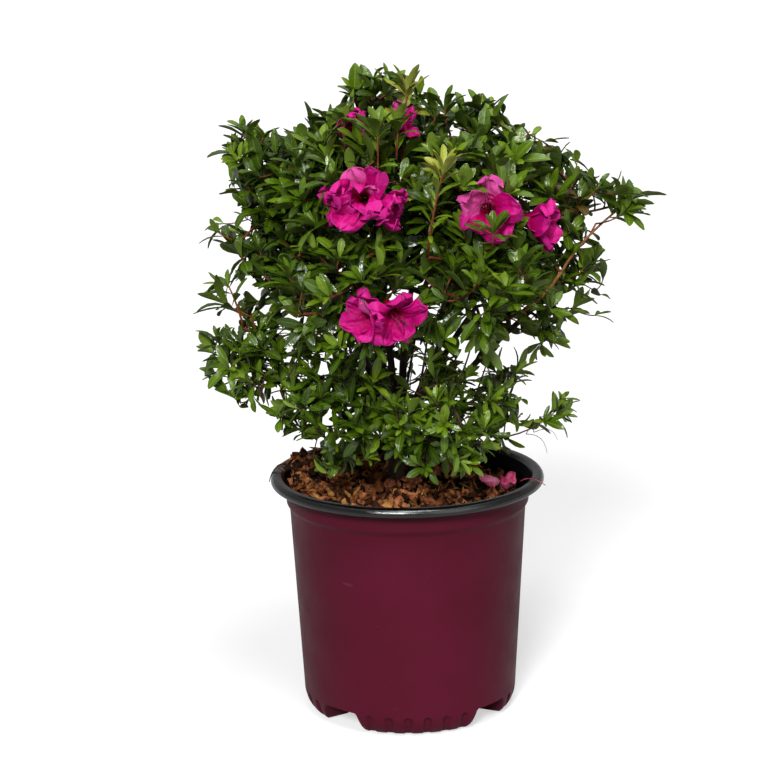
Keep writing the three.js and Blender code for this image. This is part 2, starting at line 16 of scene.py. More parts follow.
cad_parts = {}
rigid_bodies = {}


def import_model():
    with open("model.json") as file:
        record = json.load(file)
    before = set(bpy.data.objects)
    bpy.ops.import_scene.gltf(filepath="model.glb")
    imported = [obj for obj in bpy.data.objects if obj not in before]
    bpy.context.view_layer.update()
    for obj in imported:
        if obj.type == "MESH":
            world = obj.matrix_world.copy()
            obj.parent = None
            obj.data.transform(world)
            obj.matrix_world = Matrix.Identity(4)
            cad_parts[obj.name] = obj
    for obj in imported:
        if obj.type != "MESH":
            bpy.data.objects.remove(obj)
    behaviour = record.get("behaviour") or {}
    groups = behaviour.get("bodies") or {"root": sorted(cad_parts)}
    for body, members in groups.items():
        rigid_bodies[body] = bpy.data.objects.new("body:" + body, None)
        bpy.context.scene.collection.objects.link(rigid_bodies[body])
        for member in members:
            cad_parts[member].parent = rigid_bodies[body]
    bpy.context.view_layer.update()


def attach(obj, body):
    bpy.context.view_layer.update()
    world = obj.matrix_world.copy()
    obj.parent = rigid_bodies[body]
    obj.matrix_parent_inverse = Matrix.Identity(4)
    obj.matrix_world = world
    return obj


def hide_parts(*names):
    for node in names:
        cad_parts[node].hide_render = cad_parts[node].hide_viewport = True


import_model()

MM = 0.001
FULL_TURN = 2 * math.pi
GOLDEN_ANGLE = math.pi * (3 - math.sqrt(5))
UP = np.array([0.0, 0.0, 1.0])
GAP = 0.3

# The view of the photograph.
CAMERA_DISTANCE = 1700
CAMERA_RISE = math.radians(13.494)
CAMERA_ROLL = math.radians(-0.926)
CAMERA_AIM = (-16.338, 0, 248.551)
CAMERA_LENS = 107.17
CAMERA_SENSOR = 36
CAMERA_SIGHT = 100
CAMERA_AHEAD = np.array([0, math.cos(CAMERA_RISE), -math.sin(CAMERA_RISE)])
CAMERA_EYE = np.array(CAMERA_AIM) - CAMERA_DISTANCE * CAMERA_AHEAD

# The pot.
POT_HEIGHT = 180
RIM_BASE = 171
RIM_SECTION = (
    (93.2, 179), (94.6, 180.8), (98.6, 181.2), (100.9, 180.4), (102.2, 178.4), (102.5, 176.3),
    (101.8, 174.9), (99.6, 174.1), (91.8, 173.6), (91, 172.8),
)
COLLAR_RADIUS = 91
COLLAR_FOOT = 160.5
WALL_TOP = 157
WALL_TOP_RADIUS = 88.6
WALL_FOOT = 16
WALL_FOOT_RADIUS = 80.6
WALL_THICK = 2
FOOT_RADIUS = 70.5
FOOT_INNER_RADIUS = 58
FOOT_RECESS = 10
FLOOR_TOP = 17
PAD_RADIUS = 18
POT_COLUMNS = 512
POT_TURN = math.radians(3.4)
NOTCH_TURNS = POT_TURN + math.pi / 4 + np.arange(4) * math.pi / 2
# A notch's outline: the way from its middle round the foot, and how high the foot is cut away there.
NOTCH_RADIUS = 76
NOTCH_EDGE = ([0, 13.6, 14.8, 16.2, 17.4, 18.6, 20.4, 22.5], [15.6, 15.4, 14.2, 10.5, 6.5, 3.4, 1.1, 0])
FLUTE_SPACING = math.radians(10.5)
FLUTES_A_SIDE = 3
FLUTE_RADIUS = 75
FLUTE_HALF_WIDTH = 3.1
FLUTE_EDGE = 0.9
FLUTE_TOP = 11.8
FLUTE_DEPTH = 2.8
FLUTE_FADE = 0.4
FLUTE_FADE_HEIGHT = 5
DRAIN_PLACE = 64
DRAIN_RADIUS = 5

# The potting mix.
MIX_RADIUS = 86.3
MIX_EDGE = 167
MIX_MOUND = 7
MIX_FALL = 0.055
MIX_HEAP = ((-80, 30), 20, 12)
HEAP_TURN = math.radians(158)
HEAP_CHIPS = 18
HEAP_SPREAD = 0.2
HEAP_WIDTH = 0.32
HEAP_REACH = (72, 96)
HEAP_FOOT = 169
HEAP_RISE = 15
HEAP_RIM_FROM = 90
HEAP_ON_RIM = 182.5
LITTER_COUNT = 90
# Where the root that hangs over the rim runs: its two parts' starts, bends and ends.
ROOT_STARTS = ((-84, 16, 178), (-97, 10, 184))
ROOT_BENDS = ((-92, 15, 187), (-102, 6, 182))
ROOT_ENDS = ((-98, 9, 184), (-104, 4, 173))
CHIP_COUNTS = {
    "bark_chip_red": 380, "bark_chip_dark": 300, "bark_chip_brown": 350, "bark_chip_ochre": 140,
}

# The trunk and the boughs, as in the part's source.
TRUNK_FOOT = np.array([-9.0, 0.0, 171.6])
TRUNK_FORK = np.array([-5.0, 1.0, 209.0])
TRUNK_FOOT_RADIUS = 9.5
TRUNK_RADIUS = 6.4
TRUNK_FORK_RADIUS = 5.4
FLARE_HEIGHT = 0.35
FLARE_ROOTS = 5
FLARE_DEPTH = 0.16
TRUNK_BOW = 1.5
TRUNK_SUNK = 3
BARK_RIDGES = 0.07
BARK_GRAIN = 0.05
LIMB_STEPS = 5
BOUGH_TIP_RADIUS = 1.9
BOUGH_SLIMMING = 0.62
BOUGH_BOW = 0.12
BOUGH_WANDER = 0.05
STEM_DEPTH = 0.5

# The foliage masses, as in the source, each with the count of leafy shoots that fill it here.
MASSES = (
    ("top_left", (-24, -6, 434), (55, 50, 50), "trunk", 0.97, 50),
    ("heart", (8, 2, 350), (46, 46, 44), "trunk", 0.9, 46),
    ("mid_left", (-98, 6, 346), (52, 52, 47), "trunk", 0.82, 62),
    ("mid_right", (104, -6, 316), (49, 52, 46), "trunk", 0.72, 62),
    ("mid_front_left", (-42, -90, 332), (56, 52, 50), "trunk", 0.62, 58),
    ("mid_front_right", (54, -86, 334), (52, 50, 50), "trunk", 0.86, 60),
    ("mid_back_left", (-58, 84, 322), (56, 52, 50), "trunk", 0.7, 46),
    ("mid_back_right", (60, 86, 322), (54, 52, 50), "trunk", 0.8, 46),
    ("low_left", (-104, -8, 268), (54, 50, 40), "trunk", 0.5, 60),
    ("low_right", (74, -8, 232), (56, 46, 30), "mid_right", 0.22, 44),
    ("low_front_left", (-52, -66, 243), (50, 46, 42), "mid_front_left", 0.2, 62),
    ("low_front", (24, -72, 240), (46, 46, 44), "mid_front_right", 0.18, 64),
    ("low_back", (-6, 78, 240), (56, 48, 44), "mid_back_left", 0.2, 46),
    ("up_left", (-86, -2, 408), (50, 50, 43), "mid_left", 0.55, 52),
    ("up_right", (126, 2, 378), (63, 50, 38), "mid_right", 0.6, 48),
    ("up_front_left", (-38, -72, 402), (52, 54, 46), "top_left", 0.42, 48),
    ("up_front_right", (40, -68, 396), (46, 50, 44), "heart", 0.62, 50),
    ("up_back", (4, 76, 396), (58, 52, 48), "top_left", 0.5, 46),
    ("top_right", (66, -8, 417), (52, 52, 47), "heart", 0.5, 52),
)
MASS_NAMES = [mass[0] for mass in MASSES]
MIDDLES = np.array([mass[1] for mass in MASSES], float)
REACHES = np.array([mass[2] for mass in MASSES], float)
MEAN_REACHES = REACHES.mean(axis=1)

# The source's rule for the twigs, and the finer level that this script adds.
SEED = 4127
SEED_STEP = 101
TIPS_PER_MASS = 7
# How the twigs' ends are scattered: of how many drawn points each is chosen, their least spacing,
# their shares of the mass's reach, how far inside its space and how low on its outer side they lie.
SOURCE_SCATTER = (14, 20, (0.35, 0.72), 6, -0.7)
FINE_SCATTER = (26, 5.5, (0.25, 0.86), 1, -0.85)
SOURCE_JOINT_SHARES = (0.5, 1)
FINE_JOINT_SHARES = (0.3, 0.45, 0.6, 0.75, 0.9)
FINER_JOINT_SHARES = (0.35, 0.6, 0.85)
HEART_LOW = 130
HEART_RISE = 0.5
STEM_LENGTH = 12
TWIG_ROOT_RADIUS = 1.7
TWIG_SLACK = 0.9
TWIG_TIP_RADIUS = 0.9
FINE_TIP_RADIUS = 0.48
TWIG_THINNING = 0.85
TWIG_SAG = 0.16
TWIG_PUSH = 0.2
TWIG_BEND = 0.45
PATH_WEIGHT = 0.3
TURN_MOST = -0.1
LIMB_CLEARANCE = 0.6
# Ends of finer twigs given for each mass, and after them the source's own long shoots.
FINE_SHOOTS = {
    "top_left": [
        (-34, -16, 464), (-22, -20, 464), (-10, -12, 466), (12, -12, 461), (-4, -22, 452),
        (24, -18, 452),
    ],
    "top_right": [
        (32, -14, 455), (44, -18, 453), (56, -16, 453), (72, -14, 449), (84, -6, 443), (92, -6, 436),
        (102, -6, 428),
    ],
    "up_right": [(112, 0, 408), (124, -4, 398), (136, -4, 394), (146, -8, 387)],
    "up_left": [(-114, -10, 438), (-122, -10, 424), (-100, -20, 436), (-86, -8, 440), (-118, -20, 396)],
    "mid_left": [(-134, -14, 366), (-132, -12, 328), (-130, 10, 342), (-132, -10, 306), (-140, -6, 360)],
    "low_left": [
        (-138, -10, 286), (-134, -5, 266), (-122, -14, 252), (-104, -18, 254), (-98, -24, 244),
        (-90, -22, 236), (-108, -20, 282), (-112, -26, 268), (-92, -28, 262), (-84, -26, 246),
    ],
    "mid_right": [
        (132, -8, 330), (140, -6, 340), (146, -2, 326), (144, -2, 314), (124, -4, 312),
        (112, -10, 296), (88, -28, 282), (122, -14, 322), (118, -10, 336), (74, -40, 286),
        (96, -34, 296), (82, -42, 300), (66, -38, 276), (104, -40, 312), (58, -40, 290),
        (78, -36, 270),
    ],
    "low_front_left": [
        (-66, -62, 268), (-46, -72, 272), (-30, -84, 214), (-62, -84, 232), (-88, -58, 250),
        (-82, -64, 240), (-74, -62, 230), (-86, -52, 244), (-66, -66, 224),
    ],
    "low_front": [(46, -58, 270), (12, -88, 208), (42, -86, 210), (26, -96, 226)],
    "low_right": [
        (66, -20, 252), (60, -38, 218), (46, -20, 214), (80, -18, 260), (92, -14, 262), (72, -26, 246),
        (62, -32, 236), (70, -30, 258),
    ],
    "mid_front_left": [(-70, -112, 316), (-46, -112, 300)],
    "mid_front_right": [(70, -104, 306), (44, -112, 300), (84, -70, 304), (86, -60, 320)],
}
SHOOTS = {
    "low_right": [(108, -8, 228)],
    "up_right": [(168, 2, 385)],
    "top_left": [(-34, 0, 460), (4, -2, 460)],
}

# Leaves.
LEAF_LENGTHS = (17, 27)
LEAF_THICK = 0.45
LEAVES_PER_PIECE = 2400
LEAF_ROWS = np.array([0.12, 0.36, 0.6, 0.8, 0.94])
LEAF_TESTS = ((0.2, 0), (0.5, 2), (0.75, 5), (0.97, 8))
LEAST_LEAVES = 3
LEAF_COLUMNS = np.array([-1, -0.52, -0.08, 0.08, 0.52, 1])
LEAF_LIFT = 0.45
RISE_LENGTH = 25
# By height: how large the leaves are, how far shoots turn up, and how wide their leaves open.
BY_HEIGHT = (190, 250, 310, 380, 470)
SIZE_BY_HEIGHT = (0.72, 0.82, 0.92, 1.0, 1.12)
SLIMNESS_BY_HEIGHT = (0.31, 0.31, 0.32, 0.34, 0.35)
RISE_BY_HEIGHT = (0.2, 0.35, 0.6, 0.9, 1.1)
OPENING_BY_HEIGHT = (1.15, 1.1, 1.0, 0.92, 0.85)
SAG_BY_HEIGHT = (0.16, 0.16, 0.18, 0.22, 0.24)
YOUNG_BARK_FROM = 320
STEM_LEAF_SPACING = 6.2
LEAFY_LENGTH = 42
LEAFY_SHARE = 0.85
WHORL_FOOT = 4
WHORL_REACH = 4.5
BELOW_WHORL = 7
# The leaves of a shoot in three groups, upright at its tip, in the whorl and down the stem: the
# tilt and the size of the first and the last of each group.
SPRAY_TILTS = ((0.2, 0.4), (0.45, 0.95), (0.9, 1.2))
SPRAY_SIZES = ((0.8, 0.6), (0.92, 1.1), (1, 0.72))
# Young shoots: how far down they are pale, how crowded and slim their leaves are and how they open.
YOUNG_LENGTH = 11
YOUNG_CROWDING = 0.6
YOUNG_SLIMNESS = 0.25
YOUNG_OPENING = 0.66
# The shares of dark, green, fresh and bright leaves inside the crown, low on it and high on it:
# inside, more dark ones as painted shade; low, more fresh and bright ones as painted light that
# lifts the shade under the crown; high, more dark ones as painted shade against the light from above.
INNER_DEPTH = 16
INNER_SHADE_TONES = (0.42, 0.44, 0.14, 0)
LOW_HEIGHT = 305
LOW_LIT_TONES = (0.12, 0.42, 0.38, 0.08)
HIGH_TONES = (0.24, 0.44, 0.26, 0.06)
TONE_STRAYS = (0.15, 0.7, 0.15)
YOUNG_TONE, BRONZE_TONE = 4, 5
YOUNG_SHOOTS = ((-2, -22, 446), (4, -2, 460), (28, -90, 418))
BRONZE_SHOOTS = ((98, -8, 416), (120, -30, 400))
# Twigs set point by point where the photograph shows them, first the tall red-stemmed shoot at the
# front. Each has its path, its leaves' size (0: bare) and the length that they cover, and where they
# aren't the usual ones its two radii, how wide the view of it is kept clear, and its kind of bark.
SET_TWIGS = (
    (((15, -100, 362), (17, -120, 392), (26, -118, 424)), 0.92, 62, (1.1, 0.6), 9, "young"),
    (((-2, -32, 428), (2, -48, 448), (3, -46, 471)), 1.0, 26, (1.1, 0.7), 4, "young"),
    (((50, -84, 366), (62, -112, 362), (59, -120, 382)), 0.92, 18, (1.0, 0.6)),
    (((-19, -74, 404), (-18, -94, 420), (-18, -84, 446)), 1.05, 40, (1.0, 0.6), 4),
    (((-6, -62, 412), (-5, -78, 430), (-4, -68, 446)), 1.0, 34, (1.0, 0.6), 4),
    (((-40, -50, 420), (-42, -72, 436), (-41, -64, 452)), 0.95, 34, (0.9, 0.6), 2),
    (((71, -34, 303), (92, -56, 313), (112, -42, 339)), 0, 0, (1.4, 1.15), 1.6, "ochre"),
    (((112, -42, 339), (124, -42, 361), (155, -10, 378)), 1.25, 60, (1.15, 0.8), 2.4, "ochre"),
    (((66, -20, 211), (92, -18, 212), (113, -9, 230)), 0.9, 5, (0.7, 0.45)),
    (((88, -18, 213), (102, -16, 213), (104, -14, 197)), 0, 0, (0.3, 0.15)),
    (((94, -17, 214), (108, -14, 220), (112, -10, 206)), 0, 0, (0.3, 0.15)),
    (((34, -20, 436), (30, -28, 446), (30, -26, 455)), 1.05, 16, (0.9, 0.6)),
    (((29, -62, 257), (32, -66, 272), (36, -62, 285)), 0.95, 14),
    (((48, -52, 247), (54, -56, 265), (59, -52, 279)), 1.0, 16),
    (((46, -46, 253), (64, -50, 261), (79, -44, 266)), 1.1, 14),
    (((40, -54, 243), (55, -60, 256), (67, -56, 256)), 1.0, 12),
    (((68, -34, 301), (88, -40, 296), (104, -32, 286)), 1.0, 6, (0.8, 0.5), 1),
    (((40, -60, 323), (45, -70, 317), (50, -66, 303)), 1.15, 10),
    (((57, -50, 308), (67, -56, 313), (80, -50, 305)), 1.2, 8),
    (((49, -46, 233), (63, -54, 248), (73, -48, 241)), 0.95, 10),
    (((8, -80, 262), (12, -86, 274), (16, -80, 283)), 0.9, 12),
    (((-118, -22, 298), (-121, -30, 316), (-128, -22, 329)), 1.1, 30, (1.0, 0.6), 1.5, "red"),
    (((-90, -60, 260), (-82, -68, 275), (-76, -62, 286)), 0.95, 16),
    (((-105, -50, 252), (-104, -56, 263), (-101, -50, 271)), 0.9, 12),
    (((-112, -24, 306), (-120, -26, 311), (-130, -24, 315)), 1.25, 5, (0.7, 0.5), 0, "red"),
    (((138, -26, 371), (148, -22, 371), (157, -20, 376)), 1.1, 6, (0.7, 0.5)),
    (((40, -58, 270), (45, -64, 284), (48, -58, 297)), 1.0, 14),
    (((-4, 6, 222), (2, 10, 250), (8, 8, 285)), 0, 0, (1.3, 0.9)),
    (((2, 4, 220), (12, 2, 245), (16, 4, 280)), 0, 0, (1.2, 0.8)),
    (((-6, 8, 226), (-4, 14, 252), (-2, 10, 290)), 0, 0, (1.2, 0.8)),
)
# Where the photograph shows sky, as ellipses in the plane y = 0: middle x, z and reaches.
SKY = (
    (134, 264, 23, 11), (116, 250, 18, 6), (146, 276, 22, 7), (182, 346, 26, 20), (155, 353, 11, 7),
    (-136, 216, 30, 18), (-112, 200, 14, 12), (-62, 484, 20, 18), (-14, 496, 9, 7), (-30, 497, 22, 10),
    (-52, 470, 9, 9), (30, 480, 12, 9), (66, 476, 22, 11), (100, 206, 24, 8), (93, 244, 12, 8),
    (-160, 400, 18, 22), (-96, 452, 11, 8), (114, 446, 15, 13), (158, 418, 28, 13), (182, 408, 20, 12),
    (-141, 340, 10, 3), (-58, 223, 5, 5), (140, 306, 14, 3), (-168, 262, 15, 26), (-150, 240, 10, 10),
    (-147, 238, 18, 8), (-60, 470, 15, 11), (88, 456, 14, 11), (205, 386, 16, 14), (160, 363, 18, 7),
    (-150, 384, 9, 10), (38, 438, 5, 4), (-82, 192, 12, 8), (94, 229, 10, 8), (82, 278, 9, 8),
    (-138, 412, 11, 14), (-138, 440, 12, 9), (-118, 462, 14, 9), (-84, 458, 9, 11), (132, 430, 9, 7),
    (159, 330, 9, 20), (127, 290, 10, 7), (118, 308, 7, 4), (-131, 346, 12, 4), (-112, 322, 6, 4),
    (-125, 300, 6, 3), (-97, 244, 5, 4), (-64, 262, 3.5, 4), (-85, 278, 4, 3), (-104, 262, 4, 3),
    (-82, 204, 16, 5), (-133, 384, 7, 8), (144, 290, 12, 7), (138, 372, 6, 9), (97, 447, 13, 5),
)
# Parts of the crown where small gaps are scattered: middle x, z, reaches and count.
OPEN_PARTS = (
    (78, 290, 44, 22, 5), (32, 256, 42, 34, 6), (-128, 366, 16, 34, 5),
    (-98, 318, 34, 26, 2),
)
GAP_REACHES = (2.8, 6.0)

# Blooms: the mass, the middle of the throat's mouth, the way it faces, its size, how much of the
# room before it is kept clear of leaves, how far its petals open, how many of its upper ones take
# the pale tone, which is painted light from above, and how many small inner ones it has.
BLOOM_ROWS = (
    ("up_front_left", (-38, -104, 402), (-0.7, -0.65, -0.15), 0.68, 1.0, 0.9, 0, 3),
    ("up_front_left", (-29, -108, 405), (-0.1, -0.9, 0.2), 0.90, 1.0, 0.9, 1, 5),
    ("up_front_left", (-16, -103, 399), (0.65, -0.7, -0.3), 0.68, 0.9, 0.85, 0, 3),
    ("up_front_right", (57, -94, 393), (-0.1, -0.95, 0.15), 0.92, 0.8, 0.85, 2, 0),
    ("up_right", (88, -58, 379), (0.93, -0.36, -0.02), 0.92, 0.9, 0.5, 0, 0),
    ("mid_front_left", (-23, -120, 326), (-0.6, -0.72, 0.0), 0.76, 1.0, 0.9, 0, 1),
    ("mid_front_left", (-9, -122, 327), (0.3, -0.8, -0.45), 0.80, 1.0, 0.85, 0, 0),
    ("top_left", (-29, -48, 447), (-0.5, -0.8, -0.15), 0.72, 0.55, 0.55, 0, 2),
    ("top_left", (-3, -46, 449), (0.4, -0.85, 0.2), 0.52, 0, 0.8, 1, 0),
    ("mid_back_left", (-72, 110, 340), (-0.4, 0.9, 0.2), 0.8, 1.0, 1.05, 0, 3),
    ("mid_back_left", (-52, 116, 328), (0.2, 0.95, -0.1), 0.78, 1.0, 0.95, 1, 0),
    ("up_back", (24, 104, 394), (0.2, 0.9, 0.4), 0.85, 1.0, 1.05, 0, 0),
    ("up_back", (4, 104, 398), (-0.5, 0.8, -0.1), 0.75, 0.9, 0.9, 1, 3),
    ("mid_back_right", (86, 106, 322), (0.6, 0.8, 0.0), 0.8, 1.0, 1.0, 1, 0),
)
THROAT_LENGTH = 17
THROAT_FOOT_RADIUS = 1.9
THROAT_ANGLE = 0.2
THROAT_COVER = 0.72
TILT_SPREAD = 0.28
# An inner petal's shares of the usual length, width and tilt.
INNER_PETAL = (0.72, 0.85, 0.3)
PETALS = 5
PETAL_LENGTH = 25
PETAL_WIDTH = 23
PETAL_THICK = 0.5
FILAMENTS = 6
FILAMENT_LENGTH = 21
PISTIL_LENGTH = 31
FILAMENT_RADIUS = 0.32
ANTHER_RADIUS = 0.6
PETAL_ROWS = 24
PETAL_COLUMNS = 19
PETAL_BANDS = (0.26, 0.4, 0.6, 0.86)
# From the throat out the tones grow lighter: partly the petal's own deeper colour in the throat, partly
# painted shade in the tube and a painted highlight towards the edge. The pale tone is painted light from
# above.
PETAL_TONES = (
    ("throat", (0.28, 0.0008, 0.022)), ("inner", (0.35, 0.0008, 0.052)), ("limb", (0.39, 0.001, 0.094)),
    ("outer", (0.44, 0.002, 0.140)), ("edge", (0.52, 0.014, 0.21)), ("pale", (0.60, 0.070, 0.30)),
)
SPOT_SHARE = 0.3
BLOOM_ROOM = 15
BLOOM_ROOM_AHEAD = 4
BLOOM_VIEW_FROM = -2
BLOOM_VIEW_RADIUS = 21
BLOOM_VIEW_LENGTH = 45


# Arrays and paths.

def unit(vectors):
    """Vectors divided by their lengths, along the last axis."""
    return vectors / np.linalg.norm(vectors, axis=-1, keepdims=True)


def dot(a, b):
    """Scalar products along the last axis, kept as an axis of one."""
    return np.sum(a * b, axis=-1, keepdims=True)


def ease(low, high, x):
    """0 below low, 1 above high, and 3t^2 - 2t^3 between."""
    t = np.clip((x - low) / (high - low), 0, 1)
    return t * t * (3 - 2 * t)


def seeded(seed):
    """The source's stream of numbers from 0 to 1: each state is the last times 16807, over 2^31 - 1."""
    state = seed

    def draw():
        """The next number."""
        nonlocal state
        state = state * 16807 % 2147483647
        return state / 2147483647

    return draw


def unit_vector(draw):
    """A way in space: a drawn height from -1 to 1, and a drawn turn round the vertical."""
    height = 2 * draw() - 1
    turn = FULL_TURN * draw()
    flat = math.sqrt(1 - height * height)
    return np.array([flat * math.cos(turn), flat * math.sin(turn), height])


def noise(points, size, seed=0):
    """Smooth values from -1 to 1: hashed values on a lattice of the given size, blended by cubic ease."""
    scaled = points / size + 137.0
    cell = np.floor(scaled).astype(np.int64)
    part = scaled - cell
    part = part * part * (3 - 2 * part)
    total = 0
    for corner in np.ndindex(2, 2, 2):
        x, y, z = np.moveaxis(cell + np.array(corner), -1, 0)
        mixed = (x * 73856093) ^ (y * 19349663) ^ (z * 83492791) ^ (seed * 2654435761)
        mixed = (mixed ^ (mixed >> 13)) * 1274126177 & 0x7FFFFFFF
        value = ((mixed ^ (mixed >> 16)) & 0xFFFF) / 32767.5 - 1
        weight = np.prod(np.where(corner, part, 1 - part), axis=-1)
        total = total + value * weight
    return total


def bezier(start, control, end, shares):
    """Points (1-t)^2 start + 2t(1-t) control + t^2 end, for arrays of paths and of shares t."""
    t = np.asarray(shares, float)[..., None]
    start, control, end = (np.asarray(p, float)[..., None, :] for p in (start, control, end))
    return (1 - t) ** 2 * start + 2 * t * (1 - t) * control + t * t * end


def spline_point(points, share):
    """The point at a share of a centripetal Catmull-Rom curve through points, as the source reads it."""
    place = (len(points) - 1) * share
    first = min(int(place), len(points) - 2)
    part = place - first
    before = points[first - 1] if first > 0 else 2 * points[0] - points[1]
    after = points[first + 2] if first + 2 < len(points) else 2 * points[-1] - points[-2]
    p1, p2 = points[first], points[first + 1]
    d0, d1, d2 = (math.sqrt(np.linalg.norm(b - a)) for a, b in ((before, p1), (p1, p2), (p2, after)))
    leave = ((p1 - before) / d0 - (p2 - before) / (d0 + d1) + (p2 - p1) / d1) * d1
    reach = ((p2 - p1) / d1 - (after - p1) / (d1 + d2) + (after - p2) / d2) * d1
    square = -3 * p1 + 3 * p2 - 2 * leave - reach
    cube = 2 * p1 - 2 * p2 + leave + reach
    return p1 + leave * part + square * part ** 2 + cube * part ** 3


# Meshes.

def make_piece(name, points, faces, materials, slot=None, face_slots=None, flat=False, sharp=None):
    """A mesh object of points in millimetres and a list of face arrays, one array a corner count.

    face_slots gives each face's material, and sharp marks the corner points between which edges are
    hard."""
    mesh = bpy.data.meshes.new(name)
    sizes = np.concatenate([np.full(len(part), part.shape[1]) for part in faces])
    corners = np.concatenate([part.ravel() for part in faces])
    mesh.vertices.add(len(points))
    mesh.vertices.foreach_set("co", (points * MM).astype(np.float32).ravel())
    mesh.loops.add(len(corners))
    mesh.loops.foreach_set("vertex_index", corners.astype(np.int32))
    mesh.polygons.add(len(sizes))
    mesh.polygons.foreach_set("loop_start", (np.cumsum(sizes) - sizes).astype(np.int32))
    for material in materials:
        mesh.materials.append(material)
    if face_slots is not None:
        mesh.polygons.foreach_set("material_index", face_slots.astype(np.int32))
    mesh.update(calc_edges=True)
    if flat:
        mesh.shade_flat()
    if sharp is not None:
        ends = np.empty(2 * len(mesh.edges), np.int32)
        mesh.edges.foreach_get("vertices", ends)
        hard = sharp[ends].reshape(-1, 2).all(axis=1)
        mesh.attributes.new("sharp_edge", "BOOLEAN", "EDGE").data.foreach_set("value", hard)
    piece = bpy.data.objects.new(name, mesh)
    bpy.context.scene.collection.objects.link(piece)
    if slot:
        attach(piece, "root")
    return piece


def repeated(faces, count, corners):
    """The faces of one shape, again for each of count copies with that many corner points."""
    steps = np.arange(count)[:, None, None] * corners
    return [(part[None] + steps).reshape(-1, part.shape[1]) for part in faces]


def grid_faces(index):
    """The four-cornered faces of a grid of point numbers."""
    return np.stack([index[:-1, :-1], index[1:, :-1], index[1:, 1:], index[:-1, 1:]], -1).reshape(-1, 4)


def ring_faces(rows, columns):
    """Faces of a closed skin: a first pole, rings of points, and a last pole, in that order."""
    side = np.arange(columns)
    beside = (side + 1) % columns
    starts = 1 + np.arange(rows - 1)[:, None] * columns
    below = starts + columns
    walls = np.stack([starts + side, below + side, below + beside, starts + beside], -1)
    last = 1 + (rows - 1) * columns
    ends = np.concatenate([
        np.stack([np.zeros_like(side), 1 + side, 1 + beside], -1),
        np.stack([np.full_like(side, last + columns), last + beside, last + side], -1),
    ])
    return [walls.reshape(-1, 4), ends]


def spun(profile, columns):
    """The radii and the heights of a profile, each row repeated for every column of a turned skin."""
    return (np.repeat(part[:, None], columns, axis=1) for part in np.array(profile, float).T)


def turned(radii, heights, turns):
    """The skin of a profile turned round the vertical: x = r cos t, y = r sin t, z = height.

    radii and heights are grids of rows by columns. The first and last rows are drawn in to poles."""
    grid = np.stack([radii * np.cos(turns), radii * np.sin(turns), heights], -1)
    poles = [np.array([[0, 0, row.mean()]]) for row in (heights[0], heights[-1])]
    points = np.concatenate([poles[0], grid[1:-1].reshape(-1, 3), poles[1]])
    return points, ring_faces(len(radii) - 2, radii.shape[1])


def tube_points(starts, controls, ends, radii, sides, steps):
    """Closed round tubes along bezier paths, for arrays of paths.

    A ring point is path + radius (cos a N + sin a B), where B is the normal of the path's own plane
    and N is B crossed with the tangent, turned so that faces point out. radii is paths by rings, or
    by rings by sides."""
    shares = np.linspace(0, 1, steps + 1)
    paths = bezier(starts, controls, ends, shares)
    t = shares[:, None]
    tangents = 2 * (1 - t) * (controls - starts)[:, None] + 2 * t * (ends - controls)[:, None]
    tangents = unit(tangents)
    planes = np.cross(controls - starts, ends - starts)
    straight = np.linalg.norm(planes, axis=1) < 1e-6
    planes[straight] = np.cross((ends - starts)[straight], [0.31, 0.95, 0.11])
    binormals = np.broadcast_to(unit(planes)[:, None], tangents.shape)
    normals = np.cross(binormals, tangents)
    turns = np.arange(sides) * FULL_TURN / sides
    if radii.ndim == 2:
        radii = radii[..., None]
    rings = paths[:, :, None] + radii[..., None] * (
        np.cos(turns)[:, None] * normals[:, :, None] - np.sin(turns)[:, None] * binormals[:, :, None]
    )
    rings = rings.reshape(len(starts), -1, 3)
    points = np.concatenate([paths[:, :1], rings, paths[:, -1:]], axis=1)
    faces = repeated(ring_faces(steps + 1, sides), len(starts), (steps + 1) * sides + 2)
    return points.reshape(-1, 3), faces


def shells(grids, thick):
    """Thin closed shells on grids of points (shells, rows, columns, 3).

    Each point moves half the thickness to both sides along the surface's normal, the cross product
    of the grid's two gradients, and a band of faces joins the two skins along their border."""
    normals = unit(np.cross(np.gradient(grids, axis=1), np.gradient(grids, axis=2)) + 1e-9)
    count, rows, columns, _ = grids.shape
    points = np.concatenate([grids + normals * thick / 2, grids - normals * thick / 2], axis=1)
    index = np.arange(2 * rows * columns).reshape(2, rows, columns)

    def border(skin):
        """The points round a skin's edge, in turn."""
        return np.concatenate([skin[0, :-1], skin[:-1, -1], skin[-1, :0:-1], skin[:0:-1, 0]])

    over, under = border(index[0]), border(index[1])
    band = np.stack([over, np.roll(over, -1), np.roll(under, -1), under], -1)
    faces = [np.concatenate([grid_faces(index[0]), grid_faces(index[1])[:, ::-1], band])]
    hard = np.zeros(2 * rows * columns, bool)
    hard[np.concatenate([over, under])] = True
    return points.reshape(-1, 3), repeated(faces, count, 2 * rows * columns), np.tile(hard, count)


# Materials.

def fill(node, **values):
    """Sets a node's sockets, named with _ for a space. A node's output is linked, a colour gets its
    fourth number, and one number for a colour is a grey."""
    for name, value in values.items():
        socket = node.inputs[name.replace("_", " ")]
        if isinstance(value, bpy.types.NodeSocket):
            node.id_data.links.new(value, socket)
        elif socket.type == "RGBA":
            socket.default_value = (*(value if isinstance(value, tuple) else (value,) * 3), 1)
        else:
            socket.default_value = value
    return node


def add_node(tree, kind, **values):
    """A new shader node with its sockets set. A Mix blends colours."""
    node = tree.nodes.new(f"ShaderNode{kind}")
    if kind == "Mix":
        node.data_type = "RGBA"
    return fill(node, **values)


